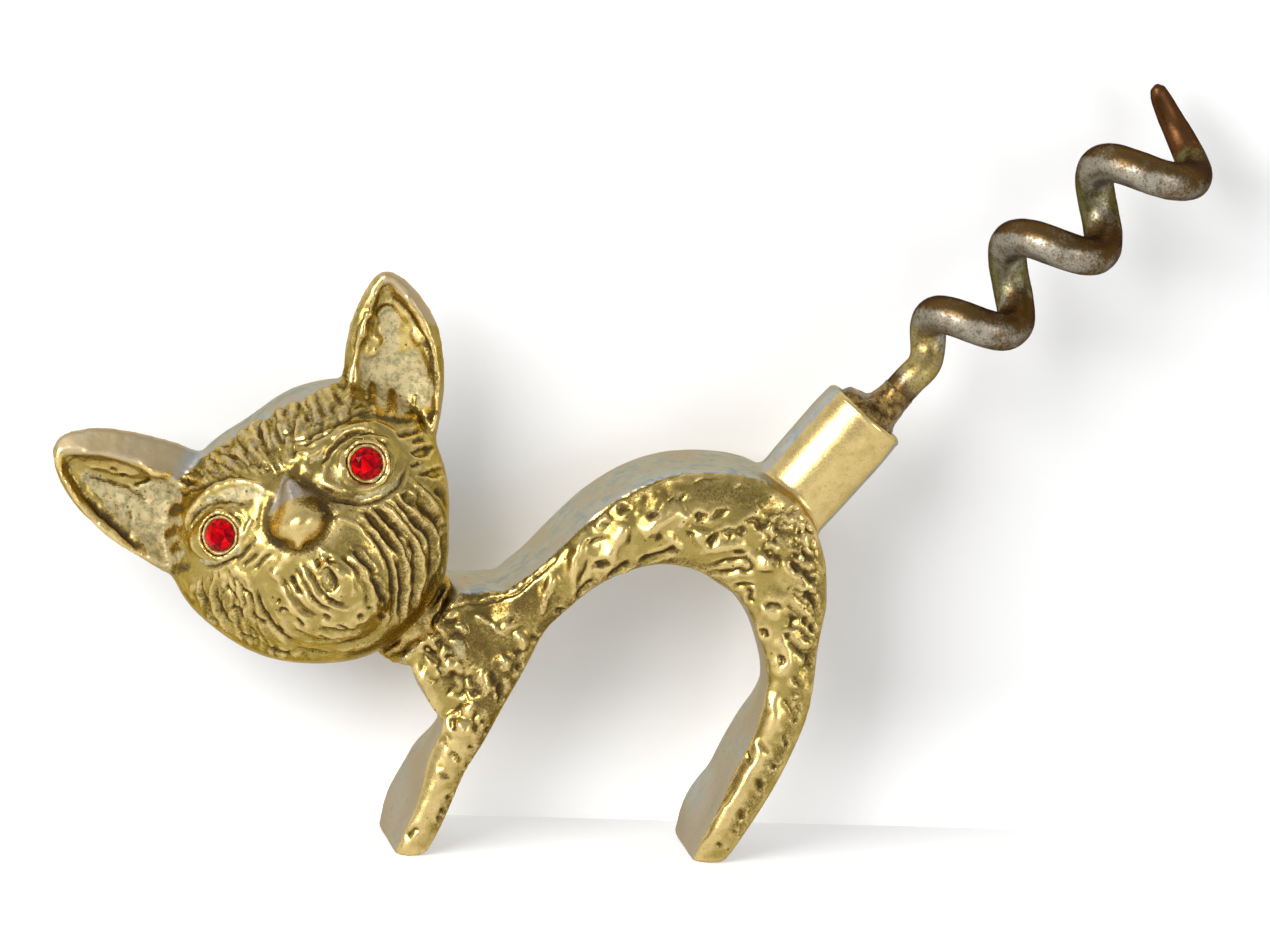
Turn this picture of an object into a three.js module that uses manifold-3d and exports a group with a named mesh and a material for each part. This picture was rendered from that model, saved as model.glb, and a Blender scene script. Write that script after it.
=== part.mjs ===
// Figural corkscrew: a cast-brass cat whose arched body is the finger grip and whose tail holds a steel worm.
// Millimetres, +Z up. The cat stands on its two pairs of feet with one flank and its face towards -Y,
// its head at -X and the worm rising towards +X.

import * as THREE from 'three';
import { mergeVertices } from 'three/addons/utils/BufferGeometryUtils.js';
import Module from 'manifold-3d';

const wasm = await Module();
wasm.setup();

// Body casting: one arched strap with ground faces above and below and a swelling, textured flank each side
const bodyLength = 36; // front of the front foot to the back of the rear leg
const backHeight = 34; // soles to the top of the back
const legThickness = 4; // leg seen from the flank, at mid height
const groundWidth = 9; // width of the ground faces, from flank to flank
const flankRise = 1.4; // swell of a flank past the ground faces
const pawReach = 1.1; // how far the far paw stands ahead of the near one
const pawHeight = 6.5; // height over which a leg swells into its paw
const pawSwellPower = 0.8; // how far down a paw its swell is fullest, 1 for half way
const legDraw = 1.2; // how far the far side of a leg's forward face is drawn back above its paw
const frontDrawRise = 6.6; // height at which that begins on the front leg
const rearDrawRise = 10.8;
const drawRun = 3.5; // height over which it comes in
const drawEnd = 21; // height at which it fades out under the back

// Neck, from the shoulder to the seat that takes the head
const neckThickness = 8.4; // neck seen from the flank, at the seat
const neckWidth = 8.4; // width of the neck's ground faces

// Tail socket on the rump, bored for the shank of the worm
const socketAngle = THREE.MathUtils.degToRad(51.5); // rise of the socket's axis above level
const socketLength = 16; // root inside the rump to the mouth
const socketRootRadius = 3.75;
const socketMouthRadius = 3.95;
const socketEdge = 0.35; // rounding of the mouth's outer edge
const boreRadius = 2.9;
const boreDepth = 9;

// Head casting
const headWidth = 24.8; // across the eyes
const headDepth = 11.2; // middle of the head to its front, and to its back
const headTilt = THREE.MathUtils.degToRad(28.2); // roll of the head towards the cat's front
const faceLift = THREE.MathUtils.degToRad(14); // how far the face looks up
const earLength = 13;
const earHalfWidth = 4.2;
const earThickness = 4.6; // front rim to the back, at the root
const earTaper = 0.5; // thinning of an ear towards its tip, of its thickness
const earDish = 1.6; // depth of the hollow in the front of an ear
const leftEarSpread = 9.7; // root of the ear, out from the middle of the head
const rightEarSpread = 11.1;
const earRise = 5.8; // root of each ear, above the middle of the head
const noseRadius = 1.75;
const noseSpread = 1.45; // breadth of the nose, of its height
const noseReach = 1.9; // nose tip past the ball of the head
const noseShift = 0.3; // nose to the viewer's left of the middle of the face
const bridgeShift = 0.6; // top of its bridge to the viewer's right
const noseRise = 1; // nose above the middle of the face
const bridgeLength = 3.8; // nose up to the top of its bridge
const bridgeRadius = 0.7;
const bridgeReach = 0.1; // top of the bridge past the ball of the head
const muzzleWidth = 12.2;
const muzzleHeight = 11.4;
const muzzleDepth = 5;
const muzzleReach = 1.15; // muzzle past the ball of the head
const muzzleDrop = 5.2; // middle of the muzzle below the middle of the face
const muzzleTurnShare = 0.6; // how much the muzzle follows the ball rather than facing straight out
const mouthHeight = 2.7; // oval ring at the middle of the muzzle
const mouthWidth = 1.6;
const mouthLip = 0.34; // radius of the ring's lip
const mouthRise = 0.8; // mouth above the middle of the muzzle
const lidWidth = 7; // eyelids from corner to corner
const lidHeight = 4.2;
const lidDepth = 2.2;
const lidReach = 0.6; // eyelids past the ball of the head
const lidInset = 0.5; // middle of the eyelids from the stone, towards the nose
const browWidth = 8.2;
const browHeight = 3.4; // top of a brow above the middle of the eye
const browInset = 1.7; // middle of a brow from the stone, towards the nose
const browRadius = 0.6; // of the brow's ridge
const browSpread = 1.3; // breadth of that ridge, of its height
const browEndShare = 0.06; // arch left open at each end, of a half turn
const browThinShare = 0.4; // ridge at its two ends, of its middle

// Eye seats, cement and stones
const eyeSpread = 6.95; // each stone out from the middle of the face
const eyeRise = 3.15; // each stone above the middle of the face
const seatRadius = 1.75;
const seatDepth = 2;
const rimThickness = 0.32; // rim round a seat
const cementDip = 0.2; // cement below the top of the rim
const stoneRadius = 1.35; // at the girdle
const stoneSink = 0.3; // girdle below the top of the rim
const girdleHeight = 0.12;
const crownHeight = 0.42;
const pavilionDepth = 1.1;
const tableShare = 0.58; // flat top of a stone, of its girdle

// Worm: right-handed helix of round steel wire with a plain shank and a ground tip
const wireRadius = 1.65;
const shankRadius = 1.4; // wire dressed down where it enters the socket
const wormRadius = 4.48; // outside of the helix
const wormPitch = 9.8;
const wormAngle = THREE.MathUtils.degToRad(43.4); // rise of the worm's axis above level
const wormLift = 0.19; // worm's axis above the socket's, at the mouth
const leadStart = 4.3; // mouth to where the shank starts to open into the helix
const leadIn = 6.95; // length along the axis over which it opens
const firstLow = 14.3; // mouth to the first low side of the helix
const helixTurns = 2.36; // from that low side to the tip
const tipTaper = 13; // ground length of wire at the tip
const tipFullness = 0.4; // fullness of the ground length, 1 for a plain cone
const tipRadius = 0.3;
const tipSwing = 2.95; // outward shift of the ground tip
const tipDraw = 0.7; // shift of the ground tip back along the axis
const shankOffset = 0.95; // shank off the socket's axis, towards the rear leg
const shankDepth = 7.5; // shank inside the socket

// Clearances and joints
const seatClearance = 0.12; // between pieces seated in one another
const neckClearance = 0.3; // either side of the layer of solder in the neck
const neckSolder = 0.6; // thickness of that layer
const solderProud = 0.35; // solder past the outline of the neck
const fillCrown = 1; // solder fill above the socket's mouth
const overrun = 2; // how far a cutting solid runs past what it cuts

// Fineness of the faceting
const strapStations = 56;
const flankSteps = 7;
const faceSteps = 3;
const neckStations = 12;
const roundSteps = 36;
const headRings = 30;
const headSides = 52;
const earSides = 26;
const featureSides = 24;
const browSides = 8;
const browSteps = 12;
const stoneSides = 10;
const wireSides = 10;
const wireStepsPerTurn = 20;

// The ears, by side of the face, with the angle that each leans out from straight up
const earLeans = { left: THREE.MathUtils.degToRad(29), right: THREE.MathUtils.degToRad(20.5) };

// The eyes, by side of the face, with how much each seat follows the ball rather than facing straight out
const eyes = [
  { name: 'left', side: -1, turnShare: 0.75 },
  { name: 'right', side: 1, turnShare: 0.35 },
];

// Centre line of the arched strap from the front sole to the rear sole. Each row is the place as shares of
// bodyLength and backHeight, and the thickness as a share of legThickness. The ends run below the ground.
const strapShares = [
  [-0.594, -0.06, 0.58],
  [-0.54, 0.05, 0.68],
  [-0.5, 0.15, 0.68],
  [-0.476, 0.228, 0.7],
  [-0.446, 0.31, 0.9],
  [-0.414, 0.41, 1.1],
  [-0.372, 0.522, 1.28],
  [-0.335, 0.617, 1.32],
  [-0.269, 0.682, 1.18],
  [-0.222, 0.73, 1.2],
  [-0.166, 0.78, 1.34],
  [-0.1, 0.828, 1.6],
  [-0.02, 0.861, 1.82],
  [0.085, 0.87, 2.12],
  [0.197, 0.841, 2.48],
  [0.264, 0.77, 2.28],
  [0.294, 0.69, 1.88],
  [0.309, 0.592, 1.34],
  [0.322, 0.49, 1.08],
  [0.316, 0.397, 1.03],
  [0.294, 0.308, 0.92],
  [0.258, 0.214, 0.88],
  [0.205, 0.103, 0.82],
  [0.117, -0.06, 0.58],
];

// Centre line of the neck from inside the shoulder to inside the head, as shares of bodyLength and
// backHeight, with the thickness as a share of neckThickness
const neckShares = [
  [-0.386, 0.497, 1.5],
  [-0.45, 0.527, 1.38],
  [-0.517, 0.562, 1.02],
  [-0.577, 0.594, 0.86],
  [-0.656, 0.644, 0.88],
  [-0.736, 0.706, 0.88],
];

// Places of the socket's mouth and of the middle of the head, as shares of bodyLength and backHeight
const socketMouthShare = [0.488, 1.137];
const headShare = [-0.842, 0.796];
const headForwardShare = 0.15; // middle of the head towards the viewer, of its depth

// Outline of the head as the viewer sees it: distance out from its middle, as a share of half the
// headWidth, at equal turns from the viewer's right over the top
const headOutlineShares = [
  1.056, 1.121, 1.113, 1.008, 0.887, 0.903, 0.935, 0.96,
  0.952, 0.903, 0.895, 0.899, 0.944, 0.976, 1, 0.984,
];

// Outline of an ear as the viewer sees it, and of the rim round its hollow: along the ear as a share of
// earLength, across it as a share of earHalfWidth, with the side nearer the forehead positive
const leftEarShares = [
  [-0.3, -0.8], [0.09, -1], [0.32, -0.98], [0.54, -0.92], [0.76, -0.68], [0.91, -0.34],
  [0.98, 0.06], [0.86, 0.56], [0.69, 0.92], [0.48, 1.2], [0.28, 1.41], [0, 1.5], [-0.3, 0.6],
];
const leftRimShares = [
  [-0.2, -0.66], [0.09, -0.88], [0.32, -0.88], [0.54, -0.8], [0.76, -0.58], [0.9, -0.3],
  [0.92, -0.14], [0.78, 0.18], [0.6, 0.44], [0.43, 0.62], [0.26, 0.72], [0, 0.66], [-0.2, 0.3],
];
const rightEarShares = [
  [-0.3, -0.6], [0.02, -1], [0.2, -1.09], [0.4, -1.11], [0.58, -1.04], [0.76, -0.78],
  [0.92, -0.4], [0.99, 0.02], [0.82, 0.5], [0.62, 0.8], [0.44, 0.94], [0.2, 0.98], [-0.3, 0.6],
];
const rightRimShares = [
  [-0.2, -0.5], [0.02, -0.82], [0.2, -0.88], [0.4, -0.84], [0.58, -0.74], [0.76, -0.5],
  [0.9, -0.2], [0.95, 0.02], [0.78, 0.36], [0.61, 0.6], [0.44, 0.76], [0.2, 0.82], [-0.2, 0.45],
];

// Rings of an ear from the bottom of its hollow to the middle of its back: the loop, how far it is drawn in
// to the middle, and its height as a share of earThickness less its sinking as a share of earDish
const earRingShares = [
  ['rim', 0.75, 0.36, 1],
  ['rim', 0.42, 0.36, 0.86],
  ['rim', 0.15, 0.36, 0.4],
  ['rim', 0.03, 0.38, 0],
  ['rim', -0.03, 0.34, 0],
  ['outline', 0, -0.06, 0],
  ['outline', 0.06, -0.3, 0],
  ['outline', 0.34, -0.58, 0],
  ['outline', 0.72, -0.64, 0],
];

// Crown of the solder in the socket, as shares of its radius and of fillCrown
const fillCrownShares = [[0.85, 0.6], [0.5, 1]];

const ears = [
  { place: -leftEarSpread, lean: earLeans.left, outlineShares: leftEarShares, rimShares: leftRimShares },
  { place: rightEarSpread, lean: earLeans.right, outlineShares: rightEarShares, rimShares: rightRimShares },
];

// Coordinates of a point, and corners of a triangle
const triple = 3;

// A closed mesh from rings of points, with a fan over each end
function ringLoft(rings) {
  const sides = rings[0].length;
  const positions = [];
  const index = [];
  for (const ring of rings) for (const p of ring) positions.push(p.x, p.y, p.z);
  for (let i = 0; i < rings.length - 1; i += 1) {
    for (let j = 0; j < sides; j += 1) {
      const k = (j + 1) % sides;
      const [a, b] = [i * sides + j, i * sides + k];
      index.push(a, b, b + sides, a, b + sides, a + sides);
    }
  }
  const last = rings.length - 1;
  for (const [end, at] of [[0, 0], [last, last * sides]]) {
    const middle = rings[end].reduce((sum, p) => sum.add(p), new THREE.Vector3()).divideScalar(sides);
    const apex = positions.length / triple;
    positions.push(middle.x, middle.y, middle.z);
    for (let j = 0; j < sides; j += 1) {
      const k = (j + 1) % sides;
      if (end === 0) index.push(apex, at + k, at + j);
      else index.push(apex, at + j, at + k);
    }
  }
  const geometry = new THREE.BufferGeometry();
  geometry.setAttribute('position', new THREE.Float32BufferAttribute(positions, triple));
  geometry.setIndex(index);
  return geometry;
}

// A closed geometry as a solid for joining and cutting, turned the right way out if it is inside out
function solidOf(geometry) {
  const bare = geometry.clone();
  bare.deleteAttribute('normal');
  bare.deleteAttribute('uv');
  const merged = mergeVertices(bare);
  const triVerts = Uint32Array.from(merged.index.array);
  const vertProperties = Float32Array.from(merged.attributes.position.array);
  if (signedVolume(vertProperties, triVerts) < 0) triVerts.reverse();
  return new wasm.Manifold(new wasm.Mesh({ numProp: triple, vertProperties, triVerts }));
}

// Six times the signed volume inside a triangle mesh
function signedVolume(points, triangles) {
  const [a, b, c] = [new THREE.Vector3(), new THREE.Vector3(), new THREE.Vector3()];
  let sum = 0;
  for (let i = 0; i < triangles.length; i += triple) {
    [a, b, c].forEach((corner, k) => corner.fromArray(points, triangles[i + k] * triple));
    sum += a.dot(b.cross(c));
  }
  return sum;
}

// The geometry of a solid
function geometryOf(solid) {
  const { vertProperties, triVerts } = solid.getMesh();
  const geometry = new THREE.BufferGeometry();
  geometry.setAttribute('position', new THREE.BufferAttribute(Float32Array.from(vertProperties), triple));
  geometry.setIndex(Array.from(triVerts));
  return geometry;
}

// A lathe profile of [radius, height] rows, revolved about +Z
function revolved(rows, sides) {
  const lathe = new THREE.LatheGeometry(rows.map(([r, h]) => new THREE.Vector2(r, h)), sides);
  return lathe.rotateX(Math.PI / 2);
}

// What a flat-ended drill takes out from the XY plane down
function drill(radius, depth, sides) {
  return revolved([[0, -depth], [radius, -depth], [radius, overrun], [0, overrun]], sides);
}

// An ellipsoid with its three half-sizes along X, Y and Z
function ellipsoid(x, y, z, sides) {
  return new THREE.SphereGeometry(1, sides, Math.round(sides / 2)).scale(x, y, z);
}

// The matrix that carries +Z to a direction, at a point
function placed(point, direction) {
  const up = new THREE.Vector3(0, 0, 1);
  const turn = new THREE.Quaternion().setFromUnitVectors(up, direction.clone().normalize());
  return new THREE.Matrix4().compose(point, turn, new THREE.Vector3(1, 1, 1));
}

// Section of the strap across its run: [out from the centre line, across the casting]. Flat ground faces
// above and below are joined by a rounded flank on each side.
function strapSection(thickness, width, rise) {
  const half = thickness / 2;
  const edge = width / 2;
  const loop = [];
  for (const side of [1, -1]) {
    for (let i = 1; i < faceSteps; i += 1) loop.push([side * half, side * edge * (1 - (2 * i) / faceSteps)]);
    for (let i = 0; i <= flankSteps; i += 1) {
      const turn = (Math.PI * i) / flankSteps;
      loop.push([side * half * Math.cos(turn), -side * (edge + rise * Math.sin(turn))]);
    }
  }
  return loop;
}

// A strap along a centre line in the XZ plane. Rows hold the place and the thickness.
function strap(rows, stations, width, shift = (p) => p) {
  const points = rows.map(([x, z, t]) => new THREE.Vector3(x, t, z));
  const line = new THREE.CatmullRomCurve3(points, false, 'centripetal');
  const rings = [];
  for (let i = 0; i <= stations; i += 1) {
    const at = line.getPointAt(i / stations);
    const run = line.getTangentAt(i / stations).setY(0).normalize();
    const out = new THREE.Vector3(-run.z, 0, run.x);
    const thickness = at.y;
    const rise = Math.min(flankRise, (flankRise * thickness) / legThickness);
    rings.push(strapSection(thickness, width, rise).map(([n, y]) => {
      const p = new THREE.Vector3(at.x + out.x * n, y, at.z + out.z * n);
      return shift(p, (-2 * out.x * n) / thickness);
    }));
  }
  return ringLoft(rings);
}

// Turns the forward face of a leg: its far side stands ahead at the paw and is drawn back higher up.
// Forward is how far the point is towards that face, 1 on it.
function legTurn(p, forward) {
  const low = THREE.MathUtils.clamp(1 - p.z / pawHeight, 0, 1);
  const drawRise = p.x < 0 ? frontDrawRise : rearDrawRise;
  const ahead = pawReach * Math.sin(Math.PI * low ** pawSwellPower);
  const back = legDraw * THREE.MathUtils.smoothstep(p.z, drawRise, drawRise + drawRun)
    * (1 - THREE.MathUtils.smoothstep(p.z, drawEnd, drawEnd + 2 * drawRun));
  const farShare = THREE.MathUtils.smoothstep(p.y, -groundWidth / 4, groundWidth / 2);
  p.x += (back - ahead) * farShare * THREE.MathUtils.smoothstep(forward, 0, 1);
  return p;
}

const along = (angle) => new THREE.Vector3(Math.cos(angle), 0, Math.sin(angle));
const spot = ([x, z], y = 0) => new THREE.Vector3(x * bodyLength, y, z * backHeight);

const socketAxis = along(socketAngle);
const socketMouth = spot(socketMouthShare);
const socketPlace = placed(socketMouth, socketAxis);
const headMiddle = spot(headShare, -headForwardShare * headDepth);

// The head's own frame: x to the viewer's right, y up the head, z towards the viewer. The face looks up a
// little further than the head and its ears do.
function headFrame(lift) {
  return new THREE.Matrix4()
    .makeTranslation(...headMiddle.toArray())
    .multiply(new THREE.Matrix4().makeRotationY(-headTilt))
    .multiply(new THREE.Matrix4().makeRotationX(Math.PI / 2 - lift));
}

// How far the head's outline stands out from its middle, on the way to a place on the face
const headOutline = new THREE.CatmullRomCurve3(headOutlineShares.map((share, i) => {
  const turn = (2 * Math.PI * i) / headOutlineShares.length;
  return new THREE.Vector3(Math.cos(turn), Math.sin(turn), 0).multiplyScalar((share * headWidth) / 2);
}), true, 'catmullrom');

function headReach(x, y) {
  const turns = Math.atan2(y, x) / (2 * Math.PI);
  return headOutline.getPoint(turns - Math.floor(turns)).length();
}

// The ball of the head, rounded from its outline to the front and the back, or a shell that much bigger
function headBall(extra) {
  const ball = new THREE.SphereGeometry(1, headSides, headRings).rotateX(Math.PI / 2);
  const points = ball.attributes.position;
  const p = new THREE.Vector3();
  for (let i = 0; i < points.count; i += 1) {
    p.fromBufferAttribute(points, i);
    const reach = headReach(p.x, p.y) + extra;
    p.multiply(new THREE.Vector3(reach, reach, headDepth + extra));
    points.setXYZ(i, p.x, p.y, p.z);
  }
  return solidOf(ball.applyMatrix4(headFrame(faceLift)));
}

// The neck from the shoulder into the head, or an outline that much bigger
function neckStrap(extra) {
  const rows = neckShares.map(([x, z, t]) => [x * bodyLength, z * backHeight, t * neckThickness + 2 * extra]);
  return solidOf(strap(rows, neckStations, neckWidth + extra));
}

// The whole body casting: arched strap, neck with the hollow seat of the head, and the bored tail socket
function bodyGeometry() {
  const rows = strapShares.map(([x, z, t]) => [x * bodyLength, z * backHeight, t * legThickness]);
  const arch = solidOf(strap(rows, strapStations, groundWidth, legTurn));
  const neck = neckStrap(0).subtract(headBall(neckSolder + 2 * neckClearance));
  const tube = revolved([
    [0, -socketLength],
    [socketRootRadius, -socketLength],
    [socketMouthRadius, -socketEdge],
    [socketMouthRadius - socketEdge / 4, -socketEdge / 4],
    [socketMouthRadius - socketEdge, 0],
    [0, 0],
  ], roundSteps);
  const ground = new THREE.BoxGeometry(2 * bodyLength, 2 * groundWidth, backHeight);
  ground.translate(0, 0, -backHeight / 2);
  return geometryOf(arch.add(neck)
    .add(solidOf(tube.applyMatrix4(socketPlace)))
    .subtract(solidOf(drill(boreRadius, boreDepth, roundSteps).applyMatrix4(socketPlace)))
    .subtract(solidOf(ground)));
}

// The point of the ball at a place on the face, raised that much, and the way the ball faces there
function onFace(x, y, lift = 0) {
  const depth = Math.sqrt(1 - (x ** 2 + y ** 2) / headReach(x, y) ** 2);
  return new THREE.Vector3(x, y, headDepth * depth + lift);
}

function facing({ x, y, z }) {
  const reach = headReach(x, y) ** 2;
  return new THREE.Vector3(x / reach, y / reach, z / headDepth ** 2).normalize();
}

// An ear's outline or rim as points round it, in its own frame: x across, y from root to tip
function earLoop(shares, side) {
  const rows = shares.map(([a, s]) => new THREE.Vector3(-side * s * earHalfWidth, a * earLength, 0));
  const loop = new THREE.CatmullRomCurve3(rows, true, 'centripetal');
  return loop.getPoints(earSides).slice(0, earSides);
}

// One ear as rings from the bottom of its hollow, over the rim and the ground edge, to the middle of its back
function earGeometry({ place, lean, outlineShares, rimShares }) {
  const side = Math.sign(place);
  const loops = { outline: earLoop(outlineShares, side), rim: earLoop(rimShares, side) };
  const rings = earRingShares.map(([loop, inShare, heightShare, dishShare]) => loops[loop].map((p) => {
    const middle = new THREE.Vector3(0, THREE.MathUtils.clamp(p.y, 0, earLength / 2), 0);
    const q = p.clone().lerp(middle, inShare);
    const taper = 1 - earTaper * Math.max(0, q.y / earLength);
    return q.setZ(heightShare * earThickness * taper - dishShare * earDish);
  }));
  const turn = new THREE.Matrix4().makeRotationZ(-side * lean);
  const root = new THREE.Matrix4().makeTranslation(place, earRise, 0);
  return ringLoft(rings).applyMatrix4(turn).applyMatrix4(root).applyMatrix4(headFrame(0));
}

// Where an eye's rim stands and which way it faces, in the face's frame
function eyePlace({ side, turnShare }) {
  const point = onFace(side * eyeSpread, eyeRise, lidReach);
  const way = new THREE.Vector3(0, 0, 1).lerp(facing(point), turnShare);
  return placed(point, way);
}

// A tapered ridge along an arch over an eye, laid on the ball of the head
function browGeometry({ side }) {
  const rings = [];
  for (let i = 0; i <= browSteps; i += 1) {
    const turn = Math.PI * (browEndShare + ((1 - 2 * browEndShare) * i) / browSteps);
    const middle = onFace(
      side * (eyeSpread - browInset) + (browWidth / 2) * Math.cos(turn),
      eyeRise + browHeight * Math.sin(turn),
    );
    const out = facing(middle);
    const run = new THREE.Vector3(-Math.sin(turn) * browWidth, Math.cos(turn) * browHeight, 0);
    const over = out.clone().cross(run).normalize();
    const swell = browRadius * THREE.MathUtils.lerp(browThinShare, 1, Math.sin((Math.PI * i) / browSteps));
    rings.push(Array.from({ length: browSides }, (_, j) => {
      const angle = (2 * Math.PI * j) / browSides;
      return middle.clone()
        .addScaledVector(out, swell * Math.cos(angle))
        .addScaledVector(over, swell * browSpread * Math.sin(angle));
    }));
  }
  return ringLoft(rings);
}

// The head casting: ball, ears, muzzle, nose, lids and brows, with a rimmed seat bored for each stone
function headGeometry() {
  const face = headFrame(faceLift);
  const feature = (geometry, place) => solidOf(geometry.applyMatrix4(place).applyMatrix4(face));
  const nose = onFace(-noseShift, noseRise, noseReach - noseRadius);
  const bridge = onFace(bridgeShift, noseRise + bridgeLength, bridgeReach);
  const bridgeWay = bridge.clone().sub(nose);
  const muzzle = onFace(0, -muzzleDrop);
  const mouth = onFace(0, -muzzleDrop + mouthRise, muzzleReach);
  let head = headBall(0);
  for (const ear of ears) head = head.add(solidOf(earGeometry(ear)));
  const muzzleBall = ellipsoid(muzzleWidth / 2, muzzleHeight / 2, muzzleDepth, featureSides);
  const muzzleWay = new THREE.Vector3(0, 0, 1).lerp(facing(muzzle), muzzleTurnShare);
  const muzzleMiddle = muzzle.addScaledVector(muzzleWay.normalize(), muzzleReach - muzzleDepth);
  head = head.add(feature(muzzleBall, placed(muzzleMiddle, muzzleWay)));
  const noseBall = ellipsoid(noseRadius * noseSpread, noseRadius, noseRadius, featureSides);
  head = head.add(feature(noseBall, new THREE.Matrix4().makeTranslation(...nose.toArray())));
  const cone = new THREE.CylinderGeometry(bridgeRadius, noseRadius, bridgeWay.length(), featureSides / 2);
  cone.rotateX(Math.PI / 2).translate(0, 0, bridgeWay.length() / 2);
  head = head.add(feature(cone, placed(nose, bridgeWay)));
  const lip = new THREE.TorusGeometry(mouthWidth / 2, mouthLip, browSides, featureSides / 2);
  lip.scale(1, mouthHeight / mouthWidth, 1);
  head = head.add(feature(lip, placed(mouth, muzzleWay)));
  for (const eye of eyes) {
    const place = eyePlace(eye);
    const lids = onFace(eye.side * (eyeSpread - lidInset), eyeRise, lidReach - lidDepth);
    const lidBall = ellipsoid(lidWidth / 2, lidHeight / 2, lidDepth, featureSides);
    head = head.add(feature(lidBall, placed(lids, facing(lids))));
    head = head.add(solidOf(browGeometry(eye).applyMatrix4(face)));
    const rim = revolved([
      [seatRadius - overrun / 4, -seatDepth / 2],
      [seatRadius + rimThickness, -seatDepth / 2],
      [seatRadius + rimThickness, -rimThickness / 2],
      [seatRadius + rimThickness / 2, 0],
      [seatRadius - overrun / 4, 0],
      [seatRadius - overrun / 4, -seatDepth / 2],
    ], featureSides);
    head = head.add(feature(rim, place));
    head = head.subtract(feature(drill(seatRadius, seatDepth, featureSides), place));
  }
  return geometryOf(head);
}

// Cement in an eye's seat: a cup whose inside follows the back of the stone
function cementGeometry(eye) {
  const outside = seatRadius - seatClearance;
  const floor = -seatDepth + seatClearance;
  const inside = stoneRadius + seatClearance;
  const cup = revolved([
    [0, floor],
    [outside, floor],
    [outside, -cementDip],
    [inside, -cementDip],
    [inside, -stoneSink],
    [0, -stoneSink - pavilionDepth - seatClearance],
  ], featureSides);
  return cup.applyMatrix4(eyePlace(eye)).applyMatrix4(headFrame(faceLift));
}

// A stone: a flat table, a ring of sloping crown facets, a thin girdle and a pointed pavilion
function stoneGeometry(eye) {
  const stone = revolved([
    [0, -stoneSink - pavilionDepth],
    [stoneRadius, -stoneSink],
    [stoneRadius, -stoneSink + girdleHeight],
    [stoneRadius * tableShare, -stoneSink + girdleHeight + crownHeight],
    [0, -stoneSink + girdleHeight + crownHeight],
  ], stoneSides);
  return stone.applyMatrix4(eyePlace(eye)).applyMatrix4(headFrame(faceLift));
}

// The layer of hard solder that fills the neck between the head and its seat, a little proud all round
function neckSolderGeometry() {
  return geometryOf(neckStrap(solderProud)
    .intersect(headBall(neckClearance + neckSolder))
    .subtract(headBall(neckClearance)));
}

const wormAxis = along(wormAngle);
const wormLow = new THREE.Vector3(Math.sin(wormAngle), 0, -Math.cos(wormAngle));
const wormFar = new THREE.Vector3(0, 1, 0);
const wormEnd = firstLow + helixTurns * wormPitch;

// Heights are along the worm's axis from the socket's mouth.
// How far the shank has opened into the helix at a height
const openShare = (height) => THREE.MathUtils.smoothstep(height, leadStart, leadStart + leadIn);

// Centre of the worm's wire: it leaves the socket as a straight shank beside the socket's axis, opens into a
// right-handed helix, and swings out at the ground tip.
function wireCentre(height) {
  const turn = (2 * Math.PI * (height - firstLow)) / wormPitch;
  const tipShare = THREE.MathUtils.smoothstep(height, wormEnd - wormPitch / 2, wormEnd);
  const radius = wormRadius - wireRadius + tipSwing * tipShare;
  const helix = socketMouth.clone()
    .addScaledVector(wormLow, radius * Math.cos(turn) - wormLift)
    .addScaledVector(wormFar, radius * Math.sin(turn))
    .addScaledVector(wormAxis, height - tipDraw * tipShare);
  const shank = socketMouth.clone()
    .addScaledVector(new THREE.Vector3(Math.sin(socketAngle), 0, -Math.cos(socketAngle)), shankOffset)
    .addScaledVector(socketAxis, height);
  return shank.lerp(helix, openShare(height));
}

// The worm's wire, or a clearance round it: rings along the centre line, thinning at the ground tip
function wireGeometry(extra, from, to) {
  const length = to - from;
  const steps = Math.round((length / wormPitch) * wireStepsPerTurn);
  const centres = Array.from({ length: steps + 1 }, (_, i) => wireCentre(from + (length * i) / steps));
  const rings = [];
  let up = new THREE.Vector3(0, 1, 0);
  let left = 0;
  for (let i = steps; i > 0; i -= 1) left += centres[i].distanceTo(centres[i - 1]);
  for (let i = 0; i <= steps; i += 1) {
    const run = centres[Math.min(i + 1, steps)].clone().sub(centres[Math.max(i - 1, 0)]).normalize();
    up = up.clone().addScaledVector(run, -up.dot(run)).normalize();
    const across = run.clone().cross(up);
    const ground = to < wormEnd ? 1 : THREE.MathUtils.clamp(left / tipTaper, 0, 1) ** tipFullness;
    const height = from + (length * i) / steps;
    const full = THREE.MathUtils.lerp(shankRadius, wireRadius, openShare(height));
    const radius = tipRadius + (full - tipRadius) * ground + extra;
    rings.push(Array.from({ length: wireSides }, (_, j) => {
      const angle = (2 * Math.PI * j) / wireSides;
      return centres[i].clone()
        .addScaledVector(up, radius * Math.cos(angle))
        .addScaledVector(across, radius * Math.sin(angle));
    }));
    if (i < steps) left -= centres[i + 1].distanceTo(centres[i]);
  }
  return ringLoft(rings);
}

// Solder run into the socket round the shank, crowned above the mouth
function socketFillGeometry() {
  const outside = boreRadius - seatClearance;
  const plug = revolved([
    [0, -boreDepth + seatClearance],
    [outside, -boreDepth + seatClearance],
    [outside, 0],
    ...fillCrownShares.map(([out, up]) => [out * outside, up * fillCrown]),
    [0, fillCrown],
  ], roundSteps);
  const shank = wireGeometry(seatClearance, -shankDepth - seatClearance, leadStart + leadIn);
  return geometryOf(solidOf(plug.applyMatrix4(socketPlace)).subtract(solidOf(shank)));
}

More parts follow.
